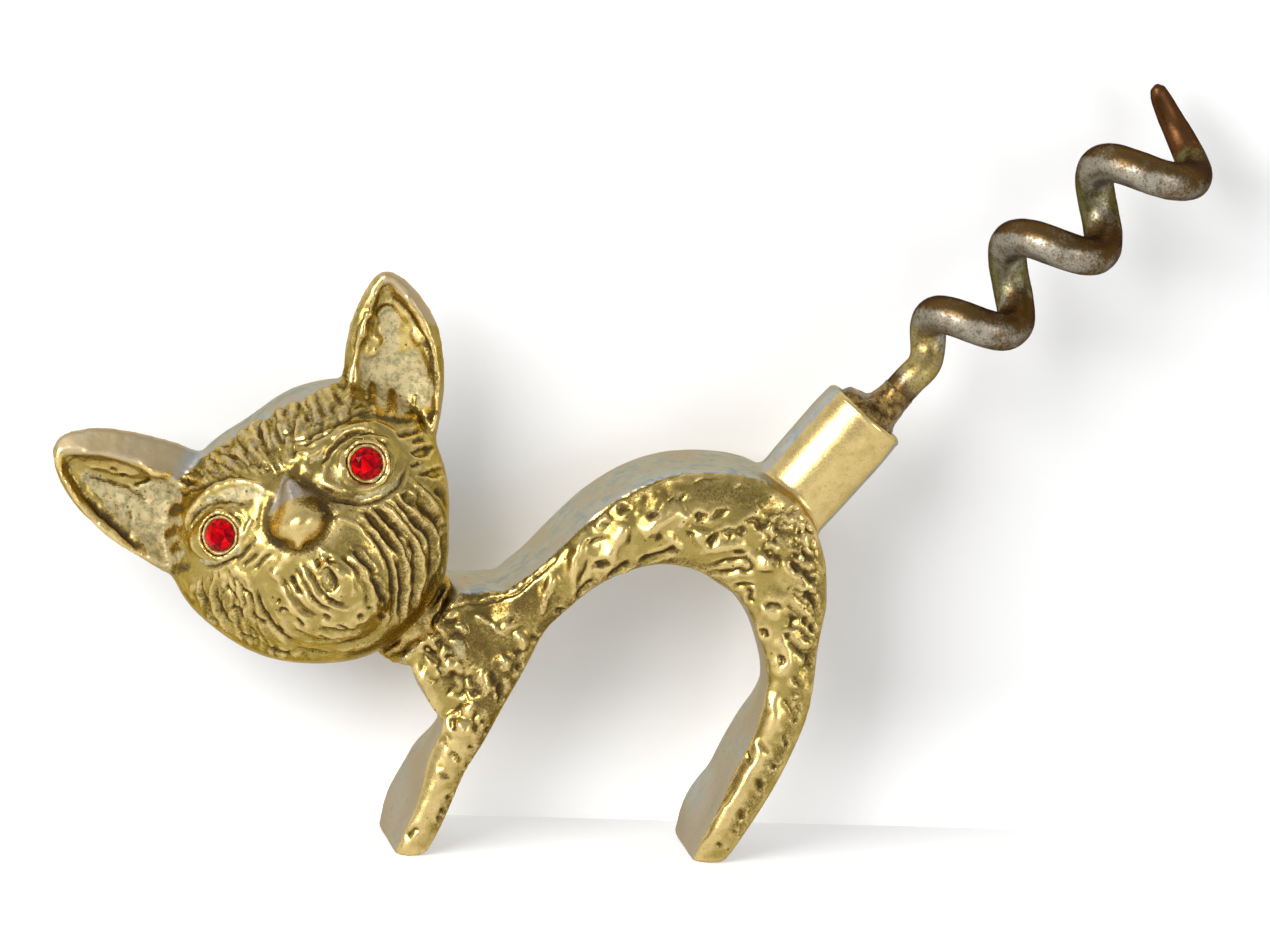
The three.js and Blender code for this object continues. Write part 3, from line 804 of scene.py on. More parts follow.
@dataclass(frozen=True)
class BrassFinish:
    """Old polished brass: gold where rubbed, dark with dirt, patina and painted shade in its hollows, silvery where
    ground.
    """

    name: str = "old_polished_brass"
    gold: Colour = (0.74, 0.56, 0.235)
    deep_gold: Colour = (0.42, 0.315, 0.09)
    # olive and dirt are the tones of the dirt, patina and painted shade in the hollows; olive also tints the scuffs
    olive: Colour = (0.20, 0.135, 0.036)
    dirt: Colour = (0.050, 0.032, 0.013)
    edge: Colour = (0.70, 0.56, 0.30)
    # The next colour and the blue one below are a painted sky reflection on ground faces that face up, and the
    # socket's tarnish.
    ground_sky_sheen_and_tarnish: Colour = (0.49, 0.53, 0.49)
    ground_warm: Colour = (0.50, 0.45, 0.375)
    ground_blue_sheen_and_tarnish: Colour = (0.33, 0.40, 0.45)
    ground_tan: Colour = (0.56, 0.43, 0.235)
    deposit: Colour = (0.54, 0.44, 0.235)
    deposit_cool: Colour = (0.28, 0.255, 0.13)
    black: Colour = (0.07, 0.065, 0.05)

    def build(self) -> Material:
        """The brass, read from the surface's marks: dirt with painted shade, crest, ground, pale deposit, and painted
        sky reflection with tarnish.
        """
        n = Nodes(self.name)
        stain, crest, ground, pale, cool = (n.mark(name) for name in ("stain", "crest", "ground", "pale", "cool"))
        fine, wide, speck = n.cloud(0.2, 4.0, 0.65), n.cloud(2.6, 3.0, 0.6), n.cloud(0.5, 5.0, 0.7)
        rubbed = n.sum("ADD", crest, n.swing(wide, 0.15, 0.35), True)
        gold = n.blend(rubbed, self.deep_gold, self.gold)
        gold = n.blend(n.ease(speck, 0.52, 0.7, 0.0, 0.45), gold, self.deep_gold)
        file_lines = n.cloud(0.45, 3.0, 0.6, n.stretched((6.0, 0.4, 1.0), (0.0, 0.0, 0.0)))
        # Painted sky reflection in clouds on the ground faces that face up, with the socket's tarnish in the same
        # colours.
        sky_sheen_and_tarnish_share = n.sum("MULTIPLY", cool, n.ease(n.cloud(4.5, 4.0, 0.6), 0.40, 0.60, 1.0, 0.15))
        silver = n.blend(sky_sheen_and_tarnish_share, self.ground_warm, self.ground_sky_sheen_and_tarnish)
        blue_sheen_and_tarnish_share = n.sum("MULTIPLY", sky_sheen_and_tarnish_share, n.ease(n.cloud(1.5, 5.0, 0.7), 0.46, 0.62))
        silver = n.blend(blue_sheen_and_tarnish_share, silver, self.ground_blue_sheen_and_tarnish)
        silver = n.blend(n.ease(file_lines, 0.5, 0.72, 0.0, 0.45), silver, self.ground_warm)
        silver = n.blend(n.sum("MULTIPLY", n.mark("tan"), n.ease(wide, 0.3, 0.7, 1.0, 0.75)), silver, self.ground_tan)
        scuffs = n.ease(n.cloud(0.8, 5.0, 0.75, n.stretched((0.5, 1.6, 1.2), (0.0, 0.5, 0.0))), 0.60, 0.70, 0.0, 0.6)
        silver = n.blend(scuffs, silver, self.olive)
        ground_edge = n.ease(n.sum("ADD", ground, n.swing(speck, 0.3, 0.25)), 0.38, 0.62)
        colour = n.blend(ground_edge, gold, silver)
        chalk = n.blend(n.ease(n.cloud(0.6, 5.0, 0.8), 0.45, 0.60), self.deposit, self.deposit_cool)
        chalk = n.blend(n.ease(n.cloud(0.38, 3.0, 0.6), 0.63, 0.70, 0.0, 0.8), chalk, self.black)
        pale_share = n.ease(n.sum("ADD", pale, n.swing(speck, 0.3, 0.32)), 0.38, 0.62)
        colour = n.blend(pale_share, colour, chalk)
        # Dirt and painted shade from the surface's mark, with noise, take the brass to olive and then to dirt.
        dirt_and_shade_mix = n.sum("ADD", stain, n.swing(fine, 0.3, 0.3))
        colour = n.blend(n.ease(dirt_and_shade_mix, 0.10, 0.60), colour, self.olive)
        pinholes = n.ease(n.cells(1.1), 0.075, 0.13, 1.0, 0.0)
        pinholes = n.sum("MULTIPLY", pinholes, n.ease(n.sum("ADD", ground_edge, n.mark("clean")), 0.0, 1.0, 0.8, 0.15))
        dirt_and_shade_share = n.sum("MAXIMUM", n.ease(dirt_and_shade_mix, 0.52, 1.0), pinholes)
        colour = n.blend(dirt_and_shade_share, colour, self.dirt)
        dull = n.sum("MAXIMUM", n.sum("MULTIPLY", pale_share, 0.7), dirt_and_shade_share)
        metal = n.sum("SUBTRACT", 1.0, n.sum("MULTIPLY", dull, 0.7))
        rough = n.sum("ADD", n.ease(fine, 0.3, 0.7, 0.24, 0.35), n.sum("MULTIPLY", ground_edge, 0.12))
        rough = n.sum("ADD", rough, n.sum("MULTIPLY", dull, 0.3))
        relief = n.bump(n.cloud(0.5, 4.0, 0.55), 0.03, 0.4)
        relief = n.bump(n.cloud(0.12, 3.0, 0.6), 0.006, 0.35, Normal=relief)
        tint = n.solid(self.edge)
        return n.shader(Base_Color=colour, Metallic=metal, Roughness=rough, Specular_Tint=tint, Normal=relief)


@dataclass(frozen=True)
class SteelFinish:
    """Old steel wire, dark grey, pitted and brown in patches."""

    name: str = "old_steel"
    steel: Colour = (0.39, 0.35, 0.275)
    dark: Colour = (0.07, 0.058, 0.038)
    brown: Colour = (0.13, 0.075, 0.024)
    olive: Colour = (0.20, 0.18, 0.07)
    gilt: Colour = (0.44, 0.34, 0.12)
    rust: Colour = (0.125, 0.052, 0.018)
    # A dark edge tint: painted shade in the reflections at the wire's silhouettes.
    edge: Colour = (0.16, 0.11, 0.06)

    def build(self) -> Material:
        """The steel, gilt with solder by the socket, olive behind, brown below and rusty at the tip."""
        n = Nodes(self.name)
        wide, mid, fine = n.cloud(1.8, 4.0, 0.65), n.cloud(0.9, 5.0, 0.7), n.cloud(0.22, 5.0, 0.7)
        speck = n.swing(n.cloud(0.25, 4.0, 0.7), 0.2, 0.24)
        patch = n.sum("ADD", n.swing(wide, 0.25, 0.28), speck)
        colour = n.blend(n.ease(n.sum("ADD", n.mark("olive"), patch), 0.1, 0.9), self.steel, self.olive)
        colour = n.blend(n.ease(n.sum("ADD", n.mark("brown"), patch), -0.05, 0.85), colour, self.brown)
        near_fill = n.sum("SUBTRACT", n.mark("gilt"), n.mark("brown"))
        gilded = n.ease(n.sum("ADD", near_fill, n.swing(mid, 0.2, 0.4)), 0.3, 0.95)
        colour = n.blend(gilded, colour, self.gilt)
        colour = n.blend(n.ease(mid, 0.50, 0.68, 0.0, 0.6), colour, self.brown)
        rusty = n.sum("ADD", n.mark("rust"), n.swing(mid, 0.2, 0.3))
        colour = n.blend(n.ease(rusty, 0.3, 0.7), colour, self.rust)
        colour = n.blend(n.ease(fine, 0.50, 0.66, 0.0, 0.75), colour, self.dark)
        rough = n.ease(fine, 0.35, 0.7, 0.30, 0.5)
        relief = n.bump(n.cloud(0.3, 5.0, 0.65), 0.06, 0.6)
        tint = n.solid(self.edge)
        return n.shader(Base_Color=colour, Metallic=0.92, Roughness=rough, Specular_Tint=tint, Normal=relief)


@dataclass(frozen=True)
class SolderFinish:
    """Solder: a base colour, a dirty colour and how metallic it still is."""

    name: str
    clean: Colour
    dirty: Colour
    metal: float
    shine: float

    def build(self) -> Material:
        """The solder, with dirt in patches."""
        n = Nodes(self.name)
        speck = n.cloud(0.6, 5.0, 0.7)
        colour = n.blend(n.ease(speck, 0.38, 0.62), self.clean, self.dirty)
        rough = n.ease(n.cloud(0.25, 3.0, 0.6), 0.3, 0.7, self.shine, self.shine + 0.25)
        relief = n.bump(n.cloud(0.4, 5.0, 0.65), 0.08, 0.7)
        return n.shader(Base_Color=colour, Metallic=self.metal, Roughness=rough, Normal=relief)


@dataclass(frozen=True)
class GlassFinish:
    """Red cut glass with a bright back, whose light is painted as a glint on the facets."""

    name: str = "red_cut_glass"
    red: Colour = (0.70, 0.0, 0.003)
    painted_shade_red: Colour = (0.13, 0.0, 0.002)

    def build(self) -> Material:
        """The glass, with a painted glint: each facet's red is lighter or darker, standing for the light from its
        foiled back.
        """
        n = Nodes(self.name)
        glint = n.sum("ADD", n.mark("glint"), n.swing(n.cloud(0.7, 2.0, 0.5), 0.2, 0.2), True)
        colour = n.blend(glint, self.painted_shade_red, self.red)
        relief = n.bump(n.cloud(0.8, 2.0, 0.5), 0.01, 0.3)
        shine = {"IOR": 1.55, "Specular_IOR_Level": 0.1}
        return n.shader(Base_Color=colour, Metallic=0.1, Roughness=0.07, Normal=relief, **shine)


@dataclass(frozen=True)
class CementFinish:
    """Old cement round a stone, cream and grubby."""

    name: str = "stone_cement"
    cream: Colour = (0.46, 0.37, 0.19)
    grubby: Colour = (0.42, 0.30, 0.09)

    def build(self) -> Material:
        """The cement, cream in patches and grubby with brass polish elsewhere."""
        n = Nodes(self.name)
        patch = n.sum("ADD", n.cloud(1.1, 3.0, 0.6), n.swing(n.cloud(0.25, 4.0, 0.7), 0.2, 0.1))
        colour = n.blend(n.ease(patch, 0.38, 0.5), self.cream, self.grubby)
        relief = n.bump(n.cloud(0.2, 4.0, 0.6), 0.04, 0.8)
        return n.shader(Base_Color=colour, Metallic=0.65, Roughness=0.42, Normal=relief)


# The cat's body

# Marks on the near flank, in millimetres across and up the photograph from the maker's zero
FLANK_MARKS: list[Stroke] = [
    *read_marks("""
    # crack between the ground back and the flank
    G 0.12 0.16: -14,22.1 -12.9,22.5 -11.5,23 -10.3,23.3 -9.2,23.9 -8.5,24.5 -7.6,25.1 -6.5,25.6 / -6.5,25.6 -5.3,26.9
    -3.9,28 -3,28.6 -1.5,29.7 -0.6,30.2 0.6,30.8 2.4,31.5 5,32 / 5,31.2 6,31.4 7.3,31.6 / 8.4,30.7 9,30.8 / 10.6,31.2
    11.3,31.5;
    G 0.13 0.18: -16.9,20.3 -15.9,20.5 -15,20.6 -14.2,20.9 -13.3,20.8 -12.5,21 -11.5,21.3 -10.5,21.5 -9.7,22 -9,22.7
    -8.2,23.3 -7.4,24 -6.8,24.8 -6.4,25.6;
    # broad slanting ridges
    R 0.42 0.5: -5.3,22.1 -5.35,24 -4.9,25.5 -4.2,26.9 / -7.9,19.9 -7.8,21 -7.3,22.2 -6.9,23.4 / -9.9,16.9 -9.7,17.5
    -9.9,18.4;
    R 0.72 0.62: -2.3,24.3 -1.8,26.2 -0.8,27.6 / 0.3,26.7 1.5,27.5 2.6,28.2 4.1,28.9 / 5,26.2 5.6,26.7 5.7,27.2 /
    10.9,23.6 11.2,25;
    R 0.45 0.32: 2.2,26.7 3.3,26.5 / 3.7,27.3 4.4,28.4 / 5.2,25.3 7,25.6 9.4,25.9 / -3.4,27.3 -2.2,28.4 / -1.4,22.6
    -0.3,23.3 / 1,24.9 2.6,25.8 4.1,25.6;
    R 0.42 0.45: -13.4,15.2 -12.9,14.2 -12.6,13.1 / -11.3,16.4 -11.1,15.1 / -14.9,11.2 -14.7,10.6 -14.4,9.9 /
    -18.9,15.8 -18,14.9 -17.1,14.1;
    # dark cuts under the ridges
    G 0.3 0.4: 0.4,24.2 1.2,24.7 2,25.1 3,25.6 3.8,25.3 / -5,21.3 -4.2,22.4 -3.5,22.7 / -2.3,22.9 -1.5,23.8 -0.3,24.3;
    G 0.15 0.2: -4.9,22.3 -4.6,23.5 -4.1,24.7 / -3.9,26 -3.4,26.5 -2.5,26.6 / -2.9,27.8 -2.2,27.6 / -0.8,25.9
    -0.5,26.6 -0.6,27.4 / 1.1,28 1.9,28.6 / 1.7,28.7 2,29 / 3.6,29.6 4.2,30.2 / 2.8,29.4 3.4,29.9 / -3.9,24 -3.2,24.3
    -2.6,24;
    P 0.16 0.22: -1.6,29 -1.2,28.5 -0.5,28.9 -1,29.3 / 4.2,27 5.1,27 4.7,26.6 / 4.9,28.3 5.4,28.7 6.1,28.4 6,27.9
    5.2,27.8 / 6.2,28 7.2,28.3 7.9,28.7 7.7,28.95 6.8,28.8 / 5.9,26.2 6.3,26.8 7,27 6.9,26.1 6.3,25.8 / 7.1,27.1
    7.7,27.4 8.4,27.2 8.6,26.8 7.9,26.4 / 8.5,27.4 9.1,27.5 9.4,27 8.9,26.6 8.5,26.9 / 9,27.9 10,27.7 10.3,27.1
    11.2,27.3 11.5,27.8 10.9,28 9.9,28.2 / 1.6,26.3 2.3,26.6 1.9,27 / 0.9,28.2 1.4,28.1 1.9,28.5 1.3,28.7 / -3.1,23.9
    -2.3,24.3 -2.6,24.8 -3.5,24.5;
    G 0.17 0.26: 5.5,24.1 6.5,24.2 7.5,24.5 8.6,24.7 9.6,24.7 9.9,24.2 9.7,23.7 9.3,23.6 8.9,23.9 8,23.5 7,23.6
    6.2,23.6 / 8.3,22.3 9,22.5 10.1,22.4 / 9.3,22.2 9.9,21.9 9.5,21.3 10.1,21.1 / 8.2,25.3 9.4,25.1;
    # pitted rump
    G 0.22 0.3: 13.2,25.1 13.9,24.7 / 14,25.3 14.6,24.9 15.1,24.8 / 13.1,24.3 13.9,23.7 / 14.2,23.7 14.6,23.1
    15.2,22.8 / 13.9,21.4 14.8,21.7 15.1,21 15.3,20.4 / 14.4,27.3 15.2,27 / 14.9,18.9 15,18.3 / 14.5,16.7 14.7,16
    15.1,15.4 / 13.2,28.4 13.5,29 13.8,28.6 / 13.9,26.6 14.1,27.1;
    C 0.95 0.17: 10.2,28.6 12.5,29.2 15.3,28 15.8,22 15.4,15.5 13.8,14.6 12.6,18.5 12.6,22 10.8,24.4 9.9,26.4;
    C 0.7 0.1: 13,14 14.4,13.5 12.9,8 10.6,4 8.6,0.6 7.4,1.4 9.8,5.5 11.8,9.5;
    C 1.1 0.08: -1.5,29 1,30.4 5,31 10.5,30.4 11.5,28.4 8,29 4,30 1,29;
    C 1.75 0.22: -19,15.6 -17.4,20.6 -14.6,20.3 -13.9,18 -14.6,15.5 -13,14.6 -12.9,10.5 -15.2,9.8 -16.3,13;
    C 1.6 0.16: -13,18.2 -10.8,19.6 -8.4,19.2 -9.2,15.6 -11.2,12.2 -12.4,13 -12.4,16;
    C 0.9 0.14: -14,21.9 -9.2,23.4 -7,25 -8,22.8 -11,21.4 -14,21;
    # rear leg
    R 0.5 0.24: 10.4,20.4 11.6,20.2 12.3,19.5 / 11.6,17.7 12.7,17.2 13.1,16.2 12.6,15 11.8,15.1 11.7,16.4 / 11.4,13.2
    11.7,12.3 12,11.2 11.7,10.2 11.3,9.2;
    R 0.5 0.32: 10.4,9.4 10.5,8.3 10.6,7.5 10,6.9 9.6,6.2 9.1,5 8.4,4 7.8,3 7.2,1.7 6.3,0.7 5.3,-0.3;
    G 0.26 0.2: 12.7,20.9 13.8,19.9 15,18.7 / 12.9,19.3 13.9,18.6 14.9,17.7 / 12.8,17.7 13.8,17 14.6,16.3 / 12.6,12.9
    13.1,11.9 13.4,11 / 13.3,14.8 13.9,13.9;
    P 0.14 0.24: 12.1,16.6 12.7,16.3 12.9,15.7 12.3,15.6 / 10.5,18.8 11.2,18.7 11.3,18.2 10.7,18.1 / 12.6,18.4 13,18.5
    13,17.8 12.7,17.9 / 12.4,10 12.6,9.7 13,8.9 12.7,8.4 / 9.4,7.5 9.9,7.3 9.8,8.2 9.6,8.3 / 10,5.9 10.5,6 10.9,5.4
    10.7,4.9 10.3,5.2 / 8.3,2.9 8.7,3.5 9.3,3.2 9.3,2.6 8.7,2.4 / 8.2,1.3 8.3,1.6 8.5,1.5 8.4,1.2 / 6.9,0.3 7.1,0.6
    7.4,0.4 7.1,0.1 / 13.1,19.7 13.8,19.7 13.8,19.2 13.2,19.2 / 14.2,19.7 14.6,19.6 14.5,19.1 14.2,19.2;
    G 0.18 0.26: 11,20.8 11.7,20.9 12.4,20.5 / 10.7,9.1 11.1,8.3 / 11.6,7.1 11.9,6.9 / 8.6,5.3 7.9,4.3 7,2.9 6,1.9
    5,0.9 4.3,-0.2 / 13.6,12.2 13.8,11.7 / 13.5,11 13.6,10.8;
    # crowns of the legs
    R 1.15 0.5: 12.1,14.5 11.7,11.5 11,9 9.7,6.4 8.1,3.6 6.4,0.9 5.3,-0.8 / -13.9,12.6 -14.9,9.8 -16,7 -17.7,3.8
    -19.4,0.6 -20,-0.8;
    R 0.8 0.4: -18.6,15.2 -17.4,13.4 -16.4,11.4 -15.9,9.8;
    # front leg and shoulder
    P 0.14 0.22: -15.9,8.3 -15.3,8.4 -14.95,7.8 -15.1,7.5 -15.5,7.8 / -16.7,6.4 -16.2,6.6 -15.95,6.2 -16.3,6.1 /
    -15.8,11 -15.1,11.1 -15.1,10.2 -15.6,10.1 / -14.5,13.6 -13.7,13.7 -13.1,13.2 -13.9,13;
    G 0.2 0.26: -11.6,14 -11.5,13.2 -11.7,12.5 / -12.4,15 -11.9,14.1 / -13.5,11.9 -13.9,10.9 -13.6,10 / -8.9,18.1
    -8.2,17.8 / -6.8,20.4 -6,20.1 / -12.8,10.2 -12.5,10.1 / -13.2,11.1 -13,10.8 / -14.2,9 -14,8.6 / -14.4,7.3 -14.2,7
    / -14.7,6.6 -14.3,6.4 / -16.1,4.6 -15.9,4.2 / -16.6,3.6 -16.4,3.1 / -17,2.9 -16.7,2.5 / -18.4,1.9 -19,1.4
    -19.3,0.9 / -9.9,15.8 -9.7,15.2 / -10.9,19.3 -10.4,19.6;
    """),
    *random_strokes(21, 16, (-16.5, 9.5), (-10.5, 19.0), lambda x, y: 1.2, 0.7),
    *random_strokes(22, 14, (-18.5, 1.5), (-14.5, 9.5), lambda x, y: 1.2, 0.45),
    *random_strokes(23, 12, (-9.0, 20.5), (-2.0, 26.5), lambda x, y: 1.1, 0.6),
    *random_strokes(24, 6, (-3.0, 24.5), (9.0, 29.5), lambda x, y: 0.5, 0.6),
    # broad dirt, and painted shade on the legs
    # the first and last lines of the next row are painted shade down the right sides of the legs
    *read_marks("""
    # lumps of braze at the neck
    L 0.3 0.3: -15.9,17.7 -15.3,18.2 -14.6,17.8 -14.2,17 -14.5,16.2 -15.2,16 -15.8,16.7 / -17.4,19.6 -16.7,19.4
    -16.2,18.4 -16.5,18.1 -17,18.7;
    R 0.3 0.3: -16.7,16.5 -16.2,15.8 -15.7,15.4 -15.2,15.8 / -19.2,17.9 -18.6,17.6 -18,17.7;
    R 0.26 0.34: -17,19.6 -16.7,18.8 -16,18.1 / -17.9,18.6 -17.3,17.6 -17,16.8 / -16.1,21.4 -15.4,22.2 / -14.9,19
    -14.5,18.3 / -13.6,19.9 -12.4,19.2 -11.4,18.4;
    G 0.24 0.34: -18.4,19 -17.6,20.3 -16.9,21 -16.3,22 / -16.3,19.4 -15.5,19.2 -15,19.6 / -17.7,17.2 -17.2,16.4
    -16.4,15.9;
    # broad dirt
    S 0.9 0.62: -14,20 -12.2,20.3 -10.2,20.6 / -16.8,22 -15.2,21.6 -12.6,22 -10.4,22.6;
    S 0.6 0.6: -14.1,19 -13.8,17.4 -13.6,16 / -19,17.2 -17.8,19.8 -16.6,21.4 -16.2,23.4 / -8.6,18.2 -7.2,19.6
    -5.8,20.8 / -9.9,16 -11.4,13.2 -12.4,11.2;
    S 1.5 0.4: 12.2,28 14.2,25.5 15,22 14.8,18 / -1.5,29.2 2,30.6 7,30.4 11,29.4;
    S 0.8 0.38: 14.2,15 13.6,11.5 12.2,8 10.2,4.4 8.6,1.4 / -5.6,20.6 -2.5,22.8 1,24.4 4.5,24.6 7.2,22.8 / -12.6,10.4
    -13.8,7.8 -15.4,4.8 -17,2;
    S 2.2 0.6: -15,18.4 -11,16.8 -12.6,12.6 / -12.6,20.6 -8.4,21.2;
    S 0.5 0.62: 9.2,10.2 8.7,7.4 7.5,4.8 5.9,2.5 4.5,0.5 / -12.4,10.6 -13.4,8.2 -14.8,5.4 -16.4,2.6 / -14,21.6
    -11,22.2 -8.6,23.6 -6.4,25.8 -3.2,28.4 0.6,30.4;
    W 0.25 0.8: -15.9,17.7 -15.3,18.1 -14.7,17.8 -14.3,17 -14.5,16.3 -15.2,16.1 -15.7,16.7 / -17.2,15.8 -16.5,15.6
    -15.9,15 -16.7,14.7 / -18.3,18.4 -17.8,18.6 -17.4,17.9 -17.9,17.5;
    """),
]


@dataclass(frozen=True)
class Nudge:
    """A soft push on a casting, even through its whole depth."""

    centre: tuple[float, float]  # across and up, from the maker's zero
    reach: tuple[float, float]
    move: tuple[float, float]

    def press(self, work: Surface) -> None:
        """Moves the surface's points.

        Args:
            work: The surface.
        """
        local = work.points - np.array(MAKERS_ZERO)
        u = (local[:, 0] - self.centre[0]) / self.reach[0]
        v = (local[:, 2] - self.centre[1]) / self.reach[1]
        share = np.exp(-(u * u + v * v))
        work.points = work.points + share[:, None] * np.array([self.move[0], 0.0, self.move[1]])


@dataclass
class BodyCasting:
    """The arched body, legs, neck and tail socket, one casting with ground faces above and below."""

    skin: float = 0.27
    socket_radius: float = 3.95
    socket_taper: float = 0.2  # how much thinner it is at its root
    lip_draw: float = 0.16  # how much thinner it is at its mouth
    waves: tuple[Triple, ...] = ((2.8, 3.0, 0.26), (1.2, 7.0, 0.07), (0.5, 12.0, 0.025))
    far_marks: int = 460
    nudges: tuple[Nudge, ...] = (
        Nudge((-18.9, 9.0), (1.7, 3.8), (-0.9, 0.0)),
        Nudge((7.6, 9.0), (1.7, 5.0), (-0.5, 0.0)),
        Nudge((-2.0, 34.2), (7.5, 2.2), (0.0, 0.42)),
        Nudge((13.8, 21.5), (1.3, 3.0), (0.35, 0.0)),
        Nudge((-21.0, 15.4), (1.4, 2.2), (0.5, 0.0)),
    )

    @staticmethod
    def socket_reach(points: Points) -> tuple[Points, Points, Points]:
        """Places about the tail socket.

        Args:
            points: Points of the row's frame, in millimetres.

        Returns:
            Height along its axis from the mouth, the way out from the axis, and the distance from it.
        """
        axis, _ = slope(SOCKET_ANGLE)
        local = points - SOCKET_MOUTH
        along = local @ axis
        off = local - along[:, None] * axis
        return along, off, np.linalg.norm(off, axis=1)

    def round_socket(self, work: Surface) -> Points:
        """Turns the socket's outside true between its root and its mouth.

        Args:
            work: The casting's surface.

        Returns:
            How far each point belongs to the socket's outside.
        """
        along, off, reach = self.socket_reach(work.points)
        true = self.socket_radius + self.socket_taper * np.clip(along / 16.0, -1.0, 0.0)
        true = true - self.lip_draw * smoothstep(along, -3.0, 0.4)
        outside = smoothstep(-np.abs(reach - true), -0.55, -0.3) * smoothstep(along, -12.5, -10.0)
        share = (outside * smoothstep(-along, 0.35, 0.7))[:, None]
        work.points = work.points + share * off * (true / np.maximum(reach, 1e-6) - 1.0)[:, None]
        return outside

    def build(self, material: Material) -> Piece:
        """Skins, polishes and chases the casting.

        Args:
            material: The brass.

        Returns:
            The casting.
        """
        piece = skinned("body_casting", casting_copy("cat_body"), self.skin)
        finer_skin(piece, lambda middle, normal: normal.y < -0.25)
        work = Surface(piece.data)
        work.even(3)
        work.polish(26, SHARP)
        work.even(4)
        for nudge in self.nudges:
            nudge.press(work)
        on_socket = self.round_socket(work)
        along, off, reach = self.socket_reach(work.points)
        side = -(off @ slope(SOCKET_ANGLE)[1]) / np.maximum(reach, 1e-6)  # 1 towards the back of the cat
        root = smoothstep(along, -19.0, -15.5) * (1.0 - smoothstep(along, -9.5, -7.5))
        root = root * smoothstep(reach, 2.5, 3.4) * (1.0 - smoothstep(reach, 4.8, 6.2))
        work.polish(30, SOFT, root)
        p, n = work.points, work.normals()
        flank = smoothstep(-n[:, 1], 0.25, 0.6) * (1.0 - on_socket)
        far_flank = smoothstep(n[:, 1], 0.3, 0.6) * (1.0 - on_socket)
        worked = np.maximum(flank, far_flank)
        relief = Relief.over(len(p))
        drawn = VIEW.flat(p)
        relief.cut(wavered(drawn, p, 0.1, 0.8, 51.0), FLANK_MARKS, flank)
        low, high = (-21.0, 0.0), (23.0, 36.0)
        scattered = random_strokes(31, self.far_marks, low, high, lambda x, y: 0.9 if x < 5 else -0.8, 1.3)
        relief.cut(p[:, [0, 2]], scattered, far_flank)
        calm = 1.0 - 0.6 * (1.0 - smoothstep(drawn[:, 1], 9.0, 14.0))
        relief.height += worked * calm * dents(p, self.waves)
        relief.height += grain(p, 3.5, 11.0) * 0.02 * (1.0 - on_socket)
        ground = (1.0 - worked) * (1.0 - on_socket) * (1.0 - root * smoothstep(-p[:, 1], 0.5, 3.0))
        tarnish = on_socket * np.maximum(smoothstep(side, 0.82, 0.96), smoothstep(-side, 0.70, 0.90)) * 0.9
        work.push(relief.height)
        work.polish(3, SOFT, worked)
        hollow = work.hollow(12) * worked
        # Dirt from the marks, and patina with painted shade in the recesses, less at the socket's root and on the
        # crests.
        stain = (relief.stain + 0.8 * smoothstep(hollow, 0.02, 0.15)) * (1.0 - 0.7 * root)
        work.marks = {
            "stain": stain * (1.0 - 0.55 * smoothstep(-hollow, 0.01, 0.07)),
            "crest": on_socket + root + smoothstep(-hollow, 0.0, 0.07),
            "ground": np.maximum(ground, tarnish),
            # Ground faces that face up take a painted sky reflection; the socket's tarnish shares its colours.
            "cool": smoothstep(n[:, 2], 0.25, 0.6) + tarnish,
            "pale": relief.pale,
            "clean": on_socket,
        }
        work.write()
        set_down(piece, material, "brass", "cat_body")
        return piece


# The cat's head

